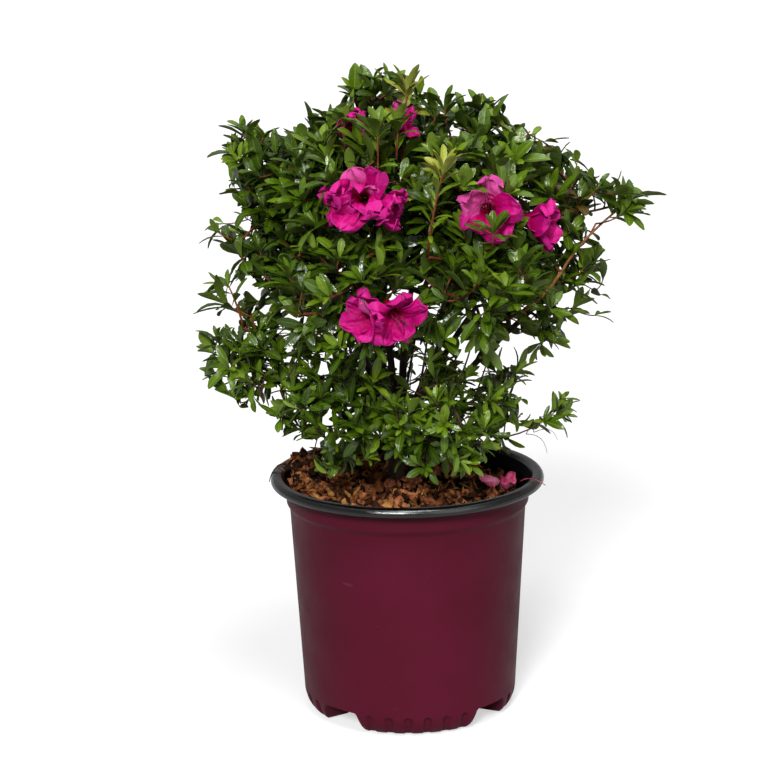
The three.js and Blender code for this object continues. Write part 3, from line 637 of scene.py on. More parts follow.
def mottle_group():
    """A shader group: a noise of a given scale, stretched between two levels, as a value and as a
    blend of two colours."""
    group = bpy.data.node_groups.new("mottle", "ShaderNodeTree")
    for way, kind, names in (
        ("INPUT", "Vector", ("Vector",)), ("INPUT", "Float", ("Scale", "Detail", "Low", "High")),
        ("INPUT", "Color", ("Dark", "Light")), ("OUTPUT", "Color", ("Color",)),
        ("OUTPUT", "Float", ("Value",)),
    ):
        for name in names:
            group.interface.new_socket(name, in_out=way, socket_type=f"NodeSocket{kind}")
    given = group.nodes.new("NodeGroupInput").outputs
    grain = add_node(group, "TexNoise", **{name: given[name] for name in ("Vector", "Scale", "Detail")})
    low, high = given["Low"], given["High"]
    span = add_node(group, "MapRange", Value=grain.outputs["Fac"], From_Min=low, From_Max=high)
    value = span.outputs["Result"]
    blend = add_node(group, "Mix", Factor=value, A=given["Dark"], B=given["Light"])
    fill(group.nodes.new("NodeGroupOutput"), Color=blend.outputs["Result"], Value=value)
    return group


MOTTLE = mottle_group()


class Finish:
    """One material and the nodes that this script adds to it."""

    def __init__(self, name, roughness, base=(0.5, 0.5, 0.5), **plain):
        """A material of one base colour and roughness, and other plain values of its shader."""
        self.material = bpy.data.materials.new(name)
        self.material.use_nodes = True
        self.tree = self.material.node_tree
        self.shader = self.tree.nodes["Principled BSDF"]
        fill(self.shader, Base_Color=base, Roughness=roughness, **plain)
        self.place = add_node(self.tree, "TexCoord").outputs["Object"]

    def stretched(self, scale):
        """Object coordinates multiplied by scale along each axis."""
        return add_node(self.tree, "Mapping", Vector=self.place, Scale=scale).outputs["Vector"]

    def mottle(self, scale, detail=3, low=0.35, high=0.65, dark=(0, 0, 0), light=(1, 1, 1), vector=None):
        """A mottle group placed in this material."""
        node = self.tree.nodes.new("ShaderNodeGroup")
        node.node_tree = MOTTLE
        return fill(node, Scale=scale, Detail=detail, Low=low, High=high, Dark=dark, Light=light,
                    Vector=vector or self.place).outputs

    def roughness(self, output, low, high):
        """Roughness from low to high, by a value from 0 to 1."""
        span = add_node(self.tree, "MapRange", Value=output, To_Min=low, To_Max=high)
        fill(self.shader, Roughness=span.outputs["Result"])

    def bump(self, output, distance, strength=1.0):
        """Relief of a height in metres, by a value from 0 to 1."""
        relief = add_node(self.tree, "Bump", Height=output, Distance=distance, Strength=strength)
        fill(self.shader, Normal=relief.outputs["Normal"])


def leaf_finish(name, base, roughness):
    """A leaf's skin: one plain colour with a fine waxy relief."""
    finish = Finish(name, roughness, base, Specular_IOR_Level=0.44)
    finish.bump(finish.mottle(300, 2, 0.3, 0.7)["Value"], 0.0004, 0.5)
    return finish.material


def bark_finish(name):
    """Bark: fine streaks, drawn out along Z, between two browns."""
    dark, light, scale, relief = BARKS[name]
    finish = Finish(name, 0.8, Specular_IOR_Level=0.25)
    streaks = finish.mottle(scale, 4, 0.35, 0.65, dark, light, finish.stretched((1, 1, 0.35)))
    fill(finish.shader, Base_Color=streaks["Color"])
    finish.bump(streaks["Value"], relief)
    return finish.material


def chip_finish(name, dark, light):
    """Composted bark: patches of two browns with a coarse fibrous relief."""
    finish = Finish(name, 0.9, Specular_IOR_Level=0.12)
    patches = finish.mottle(240, 4, 0.36, 0.64, dark, light)
    fill(finish.shader, Base_Color=patches["Color"])
    finish.bump(finish.mottle(900, 3, 0.3, 0.7, vector=finish.stretched((1, 0.4, 1)))["Value"], 0.0005)
    return finish.material


def pot_finish(name, dark, light, scuffed, rough_low, rough_high, gloss):
    """Moulded plastic: two close colours in wide patches, thin pale scuffs and a fine grain."""
    finish = Finish(name, rough_low, Specular_IOR_Level=gloss)
    patches = finish.mottle(16, 3, 0.3, 0.7, dark, light)
    scuffs = finish.mottle(60, 2, 0.73, 0.86, patches["Color"], scuffed, finish.stretched((0.5, 0.5, 3)))
    fill(finish.shader, Base_Color=scuffs["Color"])
    finish.roughness(finish.mottle(45, 4)["Value"], rough_low, rough_high)
    finish.bump(finish.mottle(1500, 2, 0.3, 0.7)["Value"], 0.00005)
    return finish.material


def petal_finish(name, base):
    """A petal's skin: one plain colour with a soft crinkled relief."""
    finish = Finish(name, 0.5, base, Specular_IOR_Level=0.1)
    finish.bump(finish.mottle(380, 3, 0.3, 0.7)["Value"], 0.0006, 0.7)
    return finish.material


# The limbs, by the source's rule.

def make_limb(name, path, radius_at):
    """A limb: its bezier path (start, control, end), its joints' points and its radius at a share."""
    points = bezier(*path, np.linspace(0, 1, LIMB_STEPS + 1))
    return {
        "name": name, "path": path, "points": points, "radius_at": radius_at, "tip": points[-1],
        "direction": unit(points[-1] - points[-2]),
    }


def trunk_radius(share, turn):
    """(shaft + flare) x roots: the shaft tapers evenly, the flare fades by the square over the foot,
    and the roots are five waves round it."""
    flare = np.maximum(0, 1 - share / FLARE_HEIGHT) ** 2
    roots = 1 + FLARE_DEPTH * flare * np.cos(FLARE_ROOTS * turn)
    shaft = TRUNK_RADIUS + (TRUNK_FORK_RADIUS - TRUNK_RADIUS) * share
    return (shaft + (TRUNK_FOOT_RADIUS - TRUNK_RADIUS) * flare) * roots


def make_trunk():
    """The trunk, from its foot to the fork by a point a little to the left of halfway."""
    middle = (TRUNK_FOOT + TRUNK_FORK) / 2 - np.array([TRUNK_BOW, 0, 0])
    return make_limb("trunk", (TRUNK_FOOT, middle, TRUNK_FORK), trunk_radius)


def make_bough(number, limbs):
    """A bough leaves its parent's middle line and ends on the inner side of its mass. Its radius
    falls by the root of the share of its length."""
    name, at, _, parent_name, share, _ = MASSES[number]
    parent = next(limb for limb in limbs if limb["name"] in (parent_name, f"bough_{parent_name}"))
    start = spline_point(parent["points"], share)
    middle = np.array(at, float)
    end = middle + unit(start - middle) * MEAN_REACHES[number] * STEM_DEPTH
    length = np.linalg.norm(end - start)
    control = (start + end) / 2 + BOUGH_BOW * length * UP
    control = control + BOUGH_WANDER * length * unit_vector(seeded(SEED + SEED_STEP * at[2]))
    root = max(BOUGH_TIP_RADIUS, float(parent["radius_at"](share, 0)) * BOUGH_SLIMMING)

    def radius_at(part, turn):
        """The same all round."""
        return root + (BOUGH_TIP_RADIUS - root) * np.sqrt(part) + 0 * turn

    return make_limb(f"bough_{name}", (start, control, end), radius_at)


def make_limbs():
    """The trunk and the boughs, each after the limb that it leaves."""
    limbs = [make_trunk()]
    for number in range(len(MASSES)):
        limbs.append(make_bough(number, limbs))
    return limbs


def limb_distance(points, limbs):
    """The clear distance from each point to the nearest limb's surface."""
    least = np.full(len(points), np.inf)
    for limb in limbs:
        path = limb["points"]
        for step in range(len(path) - 1):
            start, way = path[step], path[step + 1] - path[step]
            along = np.clip((points - start) @ way / (way @ way), 0, 1)
            near = np.linalg.norm(points - start - along[:, None] * way, axis=1)
            least = np.minimum(least, near - float(limb["radius_at"](step / (len(path) - 1), 0)))
    return least


# The masses' spaces and their twigs, by the source's rule.

def egg_depths(points):
    """How far each point lies inside each mass's egg shape: points by masses."""
    stretched = (points[:, None] - MIDDLES) / REACHES
    return (1 - np.linalg.norm(stretched, axis=2)) * REACHES.min(axis=1)


def depth_in(number, points):
    """How far each point lies inside one mass's space, from its egg shape and from the planes to its
    neighbours, where (distance squared - mean reach squared) is the same for both."""
    power = ((points[:, None] - MIDDLES) ** 2).sum(axis=2) - MEAN_REACHES ** 2
    apart = np.linalg.norm(MIDDLES - MIDDLES[number], axis=1)
    apart[number] = 1
    planes = (power - power[:, number:number + 1]) / (2 * apart)
    planes[:, number] = np.inf
    return np.minimum(egg_depths(points)[:, number], planes.min(axis=1))


Bloom = namedtuple("Bloom", "mass mouth axis size room opening pale inner")
BLOOMS = [
    Bloom(mass, np.array(mouth, float), unit(np.array(faces, float)), *rest)
    for mass, mouth, faces, *rest in BLOOM_ROWS
]


def named_tips(name):
    """The twigs' ends that are set by name: a mass's long shoots and blooms."""
    tips = [{"point": np.array(shoot, float)} for shoot in SHOOTS.get(name, [])]
    for bloom in BLOOMS:
        if bloom.mass == name:
            tips.append({"point": bloom.mouth - bloom.axis * THROAT_LENGTH * bloom.size, "bloom": bloom})
    return tips


def scatter_tips(number, draw, tips, count, choices, spacing, depths, clearance, dome_low):
    """Adds twigs' ends up to a count. Each is the drawn point, of a few on the mass's outer side,
    that lies farthest from the ends before it."""
    middle, reach = MIDDLES[number], REACHES[number]
    outward = unit(middle - np.array([0, 0, middle[2] * HEART_RISE + HEART_LOW]))
    while len(tips) < count:
        best, best_room = None, spacing
        for _ in range(choices):
            way = unit_vector(draw)
            share = depths[0] + (depths[1] - depths[0]) * draw()
            point = way * reach * share + middle
            if way @ outward < dome_low or depth_in(number, point[None])[0] < clearance:
                continue
            room = min([4 * spacing] + [np.linalg.norm(tip["point"] - point) for tip in tips])
            if room > best_room:
                best, best_room = point, room
        if best is None:
            break
        tips.append({"point": best})
    return tips


def best_joint(joints, tip):
    """The joint that a twig grows from: near to its tip and to the stem, and not behind."""
    points, directions, paths = (
        np.array([joint[key] for joint in joints]) for key in ("point", "direction", "path")
    )
    way = tip["point"] - points
    lengths = np.linalg.norm(way, axis=1)
    behind = (way * directions).sum(axis=1) / np.maximum(lengths, 1e-9) < TURN_MOST
    chosen = int(np.argmin(lengths + PATH_WEIGHT * paths + np.where(behind, lengths, 0)))
    return joints[chosen], float(lengths[chosen])


def twig_from(joint, length, tip, tip_radius, sag=TWIG_SAG):
    """A twig that leaves the joint's way, sags a little and rises to its tip."""
    control = joint["point"] + TWIG_BEND * (tip["point"] - joint["point"])
    control = control + TWIG_PUSH * length * joint["direction"] - sag * length * UP
    radii = (max(joint["radius"] * TWIG_THINNING, tip_radius), tip_radius)
    return {"path": (joint["point"], control, tip["point"]), "radii": radii, "bloom": tip.get("bloom"),
            "length": length, "root_path": joint["path"], "parent": joint.get("twig")}


def joints_of(twig, shares):
    """Joints at shares of a twig's length, with the way from the point before each."""
    points = bezier(*twig["path"], np.concatenate([[0], shares]))
    low, high = twig["radii"]
    return [
        {"point": here, "direction": unit(here - before), "radius": low + (high - low) * share,
         "path": twig["root_path"] + twig["length"] * share, "twig": twig}
        for before, here, share in zip(points, points[1:], shares)
    ]


def grow_twigs(number, bough, limbs):
    """The twigs of a mass, from its stem out, nearest ends first: the source's own, then finer ones
    that grow from them by the same rule. Returns the leafy twigs and the bare stem."""
    name, finer_count = MASSES[number][0], MASSES[number][5]
    draw = seeded(SEED + SEED_STEP * number)
    direction = bough["direction"]
    foot = bough["tip"] + GAP * direction
    head = foot + STEM_LENGTH * direction
    middle = (foot + head) / 2
    radius = TWIG_ROOT_RADIUS * TWIG_THINNING
    stem = {"path": (bough["tip"], middle, head), "radii": (BOUGH_TIP_RADIUS, radius)}
    joints = [
        {"point": point, "direction": direction, "path": 0, "radius": radius} for point in (middle, head)
    ]

    def from_stem(tip):
        """How far a tip lies from the stem's end."""
        return np.linalg.norm(tip["point"] - head)

    tips = scatter_tips(number, draw, named_tips(name), TIPS_PER_MASS, *SOURCE_SCATTER)
    twigs, finer_joints = [], list(joints)
    for tip in sorted(tips, key=from_stem):
        joint, length = best_joint(joints, tip)
        twig = twig_from(joint, length, tip, TWIG_TIP_RADIUS)
        points = bezier(*twig["path"], SOURCE_JOINT_SHARES)
        clear = limb_distance(points, limbs) > TWIG_ROOT_RADIUS + LIMB_CLEARANCE
        held = depth_in(number, points) > GAP / 2 + TWIG_ROOT_RADIUS * TWIG_SLACK
        if not (clear.all() and held.all()) or crosses_sky(twig):
            continue
        twigs.append(twig)
        joints += joints_of(twig, SOURCE_JOINT_SHARES)
        finer_joints += joints_of(twig, FINE_JOINT_SHARES)
    placed = [{"point": twig["path"][2]} for twig in twigs]
    named = [{"point": np.array(shoot, float)} for shoot in FINE_SHOOTS.get(name, [])]
    finer = scatter_tips(number, draw, placed + named, finer_count, *FINE_SCATTER)[len(placed):]
    for tip in sorted(finer, key=from_stem):
        if bloom_clash(tip["point"][None])[0] or in_sky(tip["point"][None])[0]:
            continue
        joint, length = best_joint(finer_joints, tip)
        sag = np.interp(tip["point"][2], BY_HEIGHT, SAG_BY_HEIGHT)
        twig = twig_from(joint, length, tip, FINE_TIP_RADIUS, sag)
        if crosses_sky(twig):
            continue
        twigs.append(twig)
        finer_joints += joints_of(twig, FINER_JOINT_SHARES)
    return twigs, stem


def set_twig(path, leaf_scale, leafy, radii=(0.8, 0.5), clear=0, kind="plain"):
    """A row of SET_TWIGS as a twig, as long as the two straight lines of its path."""
    path = [np.array(point, float) for point in path]
    length = np.linalg.norm(path[1] - path[0]) + np.linalg.norm(path[2] - path[1])
    return {"path": path, "radii": radii, "bloom": None, "length": length, "is_set": True, "clear": clear,
            "leaf_scale": leaf_scale, "leafy": leafy, "kind": kind}


SET_ONES = [set_twig(*row) for row in SET_TWIGS]


def link_to(joints, set_one):
    """A bare twig from the nearest point on the grown twigs to where a set one starts."""
    foot, radius = set_one["path"][0], set_one["radii"][0]
    nearest = joints[np.argmin(np.linalg.norm(joints - foot, axis=1))]
    path = [nearest, (nearest + foot) / 2, foot]
    return {**set_one, "path": path, "radii": (radius, radius), "leaf_scale": 0}


def bloom_clash(points):
    """True for the points that would lie in a bloom, or close in front of its open face."""
    clash = np.zeros(len(points), bool)
    for bloom in BLOOMS:
        from_mouth = points - bloom.mouth
        ahead = from_mouth @ bloom.axis
        beside = np.linalg.norm(from_mouth - ahead[:, None] * bloom.axis, axis=1)
        from_middle = np.linalg.norm(from_mouth - bloom.axis * BLOOM_ROOM_AHEAD, axis=1)
        clash |= from_middle < BLOOM_ROOM * bloom.size * (0.5 + 0.5 * bloom.room)
        before = (ahead > BLOOM_VIEW_FROM) & (ahead < BLOOM_VIEW_LENGTH)
        clash |= before & (beside < BLOOM_VIEW_RADIUS * bloom.size * bloom.room)
    return clash


def as_seen(points):
    """Where the lines from the photograph's camera through the points meet the plane y = 0: x and z."""
    ahead = points - CAMERA_EYE
    return (CAMERA_EYE + ahead * (-CAMERA_EYE[1] / ahead[:, 1:2]))[:, [0, 2]]


def sky_gaps():
    """The gaps of SKY, and small ones drawn evenly over each open part of the crown."""
    rng = np.random.default_rng(17)
    gaps = [np.array(SKY, float)]
    for x, z, reach_x, reach_z, count in OPEN_PARTS:
        turn, share = rng.uniform(0, FULL_TURN, count), np.sqrt(rng.random(count))
        reach = rng.uniform(*GAP_REACHES, (2, count))
        across, up = reach_x * share * np.cos(turn), reach_z * share * np.sin(turn)
        gaps.append(np.stack([x + across, z + up, *reach], -1))
    return np.concatenate(gaps)


GAPS = sky_gaps()


def in_sky(points):
    """True for the points that the photograph's view would show in a gap."""
    away = (as_seen(points)[:, None] - GAPS[:, :2]) / GAPS[:, 2:]
    return (np.linalg.norm(away, axis=2) < 1).any(axis=1)


def crosses_sky(twig):
    """True for a twig without a bloom that the view would show across a gap."""
    return not twig["bloom"] and in_sky(bezier(*twig["path"], [0.4, 0.7, 1.0])).any()


def hides_set_twig(points):
    """True for the points that the photograph's view would show before a set twig, or close by it."""
    seen = as_seen(points)
    hides = np.zeros(len(points), bool)
    for twig in SET_ONES:
        line = bezier(*twig["path"], np.linspace(0, 1, 24))
        away = np.linalg.norm(seen[:, None] - as_seen(line), axis=2)
        hides |= (away.min(axis=1) < twig["clear"]) & (points[:, 1] < line[away.argmin(axis=1), 1])
    return hides


# Leaves.

def spray_of(twig, rng, scale, opening):
    """The leaves of one shoot: the way back from its tip, tilt, turn, size and which are young.

    Two to four small upright ones stand at the tip, a whorl opens round it, and the rest step back
    down the shoot, each a golden angle further round."""
    upright = rng.integers(2, 5)
    whorl = rng.integers(5, 8)
    leafy = twig.get("leafy") or min(LEAFY_SHARE * twig["length"], LEAFY_LENGTH) * rng.uniform(0.6, 1)
    spacing = STEM_LEAF_SPACING * scale * (YOUNG_CROWDING if twig.get("kind") == "young" else 1)
    below = max(0, int((leafy - WHORL_FOOT) / spacing))
    back = np.concatenate([
        np.full(upright, 0.2), np.linspace(0.8, WHORL_REACH * scale, whorl),
        BELOW_WHORL * scale + spacing * np.arange(below),
    ])
    counts = (upright, whorl, below)
    tilt, size = (
        np.concatenate([np.linspace(*ends, count) for ends, count in zip(groups, counts)])
        for groups in (SPRAY_TILTS, SPRAY_SIZES)
    )
    count = len(back)
    turn = rng.uniform(0, FULL_TURN) + np.arange(count) * GOLDEN_ANGLE + rng.normal(0, 0.2, count)
    tilt = tilt * opening + rng.normal(0, 0.13, count)
    return back, tilt, turn, size * rng.uniform(0.88, 1.1, count), np.arange(count) < upright


def tones_of(twig, rng, back, young, depth):
    """Each leaf's tone from 0, dark, to 3, bright: one drawn for the spray, darker inside the crown
    and high on it as painted shade and brighter low on it as painted light, one off it for a few
    leaves, and one brighter at the tip."""
    count = len(back)
    outer = LOW_LIT_TONES if twig["path"][2][2] < LOW_HEIGHT else HIGH_TONES
    tone = rng.choice(4, p=outer if depth < INNER_DEPTH else INNER_SHADE_TONES)
    tones = np.clip(tone + rng.choice((-1, 0, 1), count, p=TONE_STRAYS), 0, 3)
    tones = np.where(young, np.minimum(tones + 1, 3), tones)
    if "is_set" in twig:
        tones = np.maximum(tones, 1)
    if twig["tint"] == YOUNG_TONE:
        return np.where(back < YOUNG_LENGTH, YOUNG_TONE, rng.choice((2, 3, 3), count))
    if twig["tint"] == BRONZE_TONE:
        return np.where(young | (rng.random(count) < 0.4), BRONZE_TONE, tones)
    return tones


def tint_shoots(twigs):
    """Marks the twigs that bear young or bronze leaves: the nearest tips to the named places."""
    tips = np.array([twig["path"][2] for twig in twigs])
    for twig in twigs:
        twig["tint"] = YOUNG_TONE if twig.get("kind") == "young" else None
    for places, tint in ((BRONZE_SHOOTS, BRONZE_TONE), (YOUNG_SHOOTS, YOUNG_TONE)):
        for place in places:
            twigs[np.argmin(np.linalg.norm(tips - place, axis=1))]["tint"] = tint


def leaves_of(twigs, rng):
    """All leaves as arrays: root, the ways along and up, length, width, curl, fold, twist, tone,
    whether a set twig bears them, and their twig's number.

    A leaf leaves its shoot's axis by its tilt, at its turn round it."""
    tint_shoots(twigs)
    rows = []
    for number, twig in enumerate(twigs):
        if twig["bloom"] or twig.get("leaf_scale") == 0:
            continue
        scale, rise, opening, slimness = (
            np.interp(twig["path"][2][2], BY_HEIGHT, row)
            for row in (SIZE_BY_HEIGHT, RISE_BY_HEIGHT, OPENING_BY_HEIGHT, SLIMNESS_BY_HEIGHT)
        )
        scale = twig.get("leaf_scale", scale)
        if twig.get("kind") == "young":
            slimness, opening = YOUNG_SLIMNESS, YOUNG_OPENING
        back, tilt, turn, size, young = spray_of(twig, rng, scale, opening)
        count = len(back)
        share = np.clip(1 - back / twig["length"], 0.05, 1)
        root = bezier(*twig["path"], share)
        axis = unit(root - bezier(*twig["path"], share - 0.04))
        axis = unit(axis + rise * np.clip(1 - back / RISE_LENGTH, 0, 1)[:, None] * UP)
        across = unit(np.cross(axis, np.where(np.abs(axis[:, 2:]) < 0.9, UP, [1.0, 0, 0])))
        out = across * np.cos(turn)[:, None] + np.cross(axis, across) * np.sin(turn)[:, None]
        along = axis * np.cos(tilt)[:, None] + out * np.sin(tilt)[:, None]
        upper = unit(axis - along * np.cos(tilt)[:, None]) + LEAF_LIFT * UP
        length = rng.uniform(*LEAF_LENGTHS, count) * size * scale
        tones = tones_of(twig, rng, back, young, egg_depths(root[:1]).max())
        rows.append({
            "root": root, "along": along, "upper": unit(upper - along * dot(upper, along)),
            "length": length, "width": length * slimness * rng.uniform(0.82, 1.15, count),
            "curl": rng.uniform(0.25, 1.1, count), "fold": rng.uniform(0.35, 0.75, count),
            "twist": rng.normal(0, 0.25, count), "tone": tones,
            "is_set": np.full(count, "is_set" in twig), "twig": np.full(count, number),
        })
    return {key: np.concatenate([row[key] for row in rows]) for key in rows[0]}


def some_of(leaves, which):
    """The leaves that row numbers, or one truth value a leaf, choose."""
    return {key: values[which] for key, values in leaves.items()}


def leaves_that_fit(leaves, limbs):
    """The leaves whose middle and tip stay within the crown's reach, clear of limbs and blooms."""
    keep = np.ones(len(leaves["root"]), bool)
    for part, slack in LEAF_TESTS:
        points = leaves["root"] + leaves["along"] * (leaves["length"] * part)[:, None]
        reach = slack * (1 + leaves["along"][:, 2].clip(0))
        keep &= leaves["is_set"] | (egg_depths(points).max(axis=1) > -reach)
        keep &= limb_distance(points, limbs) > 1
        keep &= leaves["is_set"] | ~(bloom_clash(points) | hides_set_twig(points))
        keep &= points[:, 2] > POT_HEIGHT + 1
        keep &= ~in_sky(points)
    return some_of(leaves, keep)


def bearing_twigs(twigs, leaves):
    """Which twigs hold enough leaves, a bloom or another twig that does, as one truth value a twig."""
    bears = np.bincount(leaves["twig"], minlength=len(twigs)) >= LEAST_LEAVES
    numbers = {id(twig): number for number, twig in enumerate(twigs)}
    for number in reversed(range(len(twigs))):
        twig = twigs[number]
        bears[number] |= bool(twig["bloom"]) or "is_set" in twig
        if bears[number] and twig.get("parent"):
            bears[numbers[id(twig["parent"])]] = True
    return bears


def leaf_template():
    """The faces of one leaf: an upper skin of five strips and a lower one of two, which share their
    outline and two poles, with each face's material: blade, midrib or underside."""
    rows, columns = len(LEAF_ROWS), len(LEAF_COLUMNS)
    top = 2 + np.arange(rows * columns).reshape(rows, columns)
    under = 2 + rows * columns + np.arange(rows)
    blades = grid_faces(top)
    left, right = top[:, 0], top[:, -1]
    backs = np.concatenate([
        np.stack([left[:-1], under[:-1], under[1:], left[1:]], -1),
        np.stack([under[:-1], right[:-1], right[1:], under[1:]], -1),
    ])
    pole = np.zeros(columns - 1, int)
    fans = np.concatenate([
        np.stack([pole, top[0, :-1], top[0, 1:]], -1),
        np.stack([pole + 1, top[-1, 1:], top[-1, :-1]], -1),
        [[0, under[0], left[0]], [0, right[0], under[0]]],
        [[1, left[-1], under[-1]], [1, under[-1], right[-1]]],
    ])
    strip = (np.arange(columns - 1) == columns // 2 - 1).astype(int)
    slots = np.concatenate([
        np.tile(strip, rows - 1), np.full(len(backs), 2), strip, strip, np.full(4, 2),
    ])
    hard = np.zeros(2 + rows * columns + rows, bool)
    hard[np.concatenate([[0, 1], left, right])] = True
    return [np.concatenate([blades, backs]), fans], slots, hard


def leaf_points(leaves):
    """Each leaf's points: x = u length and y = v times half the width, on an outline that is
    sin(pi u^1.5)^0.72, with the two halves folded up from the midrib and cambered, the whole bent
    down along an arc and twisted along its length."""
    u = np.concatenate([[0, 1], np.repeat(LEAF_ROWS, len(LEAF_COLUMNS)), LEAF_ROWS])
    v = np.concatenate([[0, 0], np.tile(LEAF_COLUMNS, len(LEAF_ROWS)), np.zeros(len(LEAF_ROWS))])
    under = np.arange(len(u)) >= 2 + len(LEAF_ROWS) * len(LEAF_COLUMNS)
    length, width, curl, fold, twist = (
        leaves[key][:, None] for key in ("length", "width", "curl", "fold", "twist")
    )
    half = width / 2 * np.sin(math.pi * u ** 1.5).clip(0) ** 0.72
    side = v * half
    rise = half * (fold * np.abs(v) - 0.35 * v * v) - LEAF_THICK * under
    turn = twist * u
    side, rise = side * np.cos(turn) - rise * np.sin(turn), side * np.sin(turn) + rise * np.cos(turn)
    bend = curl * u
    ahead = length * np.sin(bend) / curl + rise * np.sin(bend)
    height = rise * np.cos(bend) - length * (1 - np.cos(bend)) / curl
    across = np.cross(leaves["upper"], leaves["along"])
    points = leaves["root"][:, None] + ahead[..., None] * leaves["along"][:, None]
    points = points + side[..., None] * across[:, None] + height[..., None] * leaves["upper"][:, None]
    return points


# Name, blade, midrib and underside colours, and the blade's roughness. The blades from dark to
# bright are partly the leaves' own spread of greens and partly painted light and shade: dark for
# the shade inside the crown, fresh and bright for light shining through the leaf. The paler midrib
# is partly the vein's own colour and partly a painted highlight along the leaf's fold.
LEAF_TONES = (
    ("leaves_dark", (0.024, 0.049, 0.0015), (0.055, 0.094, 0.005), (0.052, 0.089, 0.006), 0.24),
    ("leaves_green", (0.044, 0.087, 0.0025), (0.095, 0.162, 0.009), (0.080, 0.131, 0.009), 0.26),
    ("leaves_fresh", (0.074, 0.136, 0.004), (0.145, 0.230, 0.015), (0.110, 0.178, 0.013), 0.28),
    ("leaves_bright", (0.120, 0.196, 0.006), (0.205, 0.300, 0.024), (0.155, 0.236, 0.020), 0.30),
    ("leaves_young", (0.260, 0.290, 0.025), (0.340, 0.350, 0.050), (0.270, 0.300, 0.045), 0.42),
    ("leaves_bronze", (0.075, 0.050, 0.010), (0.130, 0.085, 0.018), (0.090, 0.070, 0.018), 0.40),
)


def build_leaves(leaves, foliage_nodes):
    """The leaves as one piece a tone, or as many as keep each one small, in place of the masses."""
    faces, slots, hard = leaf_template()
    for number, (name, blade, midrib, back, roughness) in enumerate(LEAF_TONES):
        materials = [
            leaf_finish(f"{name}_blade", blade, roughness), leaf_finish(f"{name}_midrib", midrib, 0.45),
            leaf_finish(f"{name}_underside", back, 0.6),
        ]
        chosen = np.flatnonzero(leaves["tone"] == number)
        parts = np.array_split(chosen, math.ceil(len(chosen) / LEAVES_PER_PIECE))
        for part, rows in enumerate(parts):
            count = len(rows)
            points = leaf_points(some_of(leaves, rows))
            split = len(faces[0])
            ordered = np.concatenate([np.tile(slots[:split], count), np.tile(slots[split:], count)])
            piece = make_piece(
                f"{name}_{part + 1}", points.reshape(-1, 3), repeated(faces, count, points.shape[1]),
                materials, "leaf", ordered, sharp=np.tile(hard, count))
            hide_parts(*foliage_nodes)


# Twigs and limbs.

# Barks: two browns, the scale of their streaks and the height of their relief in metres.
BARKS = {
    "twig_bark": ((0.022, 0.012, 0.007), (0.070, 0.036, 0.018), 300, 0.0003),
    "shoot_bark": ((0.16, 0.026, 0.012), (0.22, 0.062, 0.022), 160, 0.0001),
    "ochre_bark": ((0.11, 0.038, 0.012), (0.30, 0.130, 0.030), 260, 0.0003),
    "limb_bark": ((0.013, 0.008, 0.005), (0.058, 0.035, 0.021), 260, 0.0006),
    "litter_dark": ((0.012, 0.007, 0.005), (0.05, 0.027, 0.016), 400, 0.0002),
    "litter_pale": ((0.14, 0.07, 0.02), (0.30, 0.18, 0.06), 400, 0.0002),
}


def build_twigs(twigs, stems):
    """All twigs as tubes that taper evenly, the outer half of each high shoot in young bark, and the
    set ones whole in the bark of their kind."""
    sides, steps = 5, 6
    chosen = twigs + stems
    paths = [np.array([twig["path"][part] for twig in chosen], float) for part in range(3)]
    radii = np.array([np.linspace(*twig["radii"], steps + 1) for twig in chosen])
    points, faces = tube_points(*paths, radii, sides, steps)
    kinds = [twig.get("kind") for twig in chosen]
    high = np.array([twig["radii"][1] < 1 and twig["path"][2][2] > YOUNG_BARK_FROM for twig in chosen])
    walls = (np.arange(steps) >= 3) & high[:, None]
    ends = np.array([False, True]) & high[:, None]
    walls, ends = walls.astype(int), ends.astype(int)
    for slot, which in ((1, ("young", "red")), (2, ("ochre",))):
        rows = np.array([kind in which for kind in kinds])
        walls[rows], ends[rows] = slot, slot
    slots = np.concatenate([np.repeat(part.ravel(), sides) for part in (walls, ends)])
    materials = [bark_finish(name) for name in ("twig_bark", "shoot_bark", "ochre_bark")]
    make_piece("twigs", points, faces, materials, "bark", slots)


def build_limbs(limbs):
    """Trunk and boughs as tubes whose radius has the bark's relief: long ridges round the limb and
    a fine noise."""
    points, faces, count = [], [], 0
    for limb in limbs:
        start, control, end = (np.array(point, float) for point in limb["path"])
        if limb["name"] == "trunk":
            start = start - TRUNK_SUNK * UP
        length = np.linalg.norm(end - start)
        sides, steps = (40, 44) if limb["name"] == "trunk" else (14, max(12, int(length / 3)))
        shares, turns = np.linspace(0, 1, steps + 1), np.arange(sides) * FULL_TURN / sides
        share, turn = np.meshgrid(shares, turns, indexing="ij")
        radius = limb["radius_at"](share, turn)
        around = np.stack([np.cos(turn) * 3, np.sin(turn) * 3, share * length / 9], -1)
        relief = BARK_RIDGES * noise(around, 0.9, 5) + BARK_GRAIN * noise(around * [1, 1, 3], 0.5, 6)
        limb_points, limb_faces = tube_points(start[None], control[None], end[None],
                                              (radius * (1 + relief))[None], sides, steps)
        points.append(limb_points)
        faces.append([part + count for part in limb_faces])
        count += len(limb_points)
    joined = [np.concatenate(parts) for parts in zip(*faces)]
    bark = bark_finish("limb_bark")
    piece = make_piece("trunk_and_boughs", np.concatenate(points), joined, [bark], "bark")
    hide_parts(*[limb["name"] for limb in limbs])


# Blooms.

def bloom_axes(bloom):
    """The way a bloom faces, and the level and the upward way across it."""
    side = unit(np.cross(bloom.axis, UP))
    return bloom.axis, side, np.cross(side, bloom.axis)


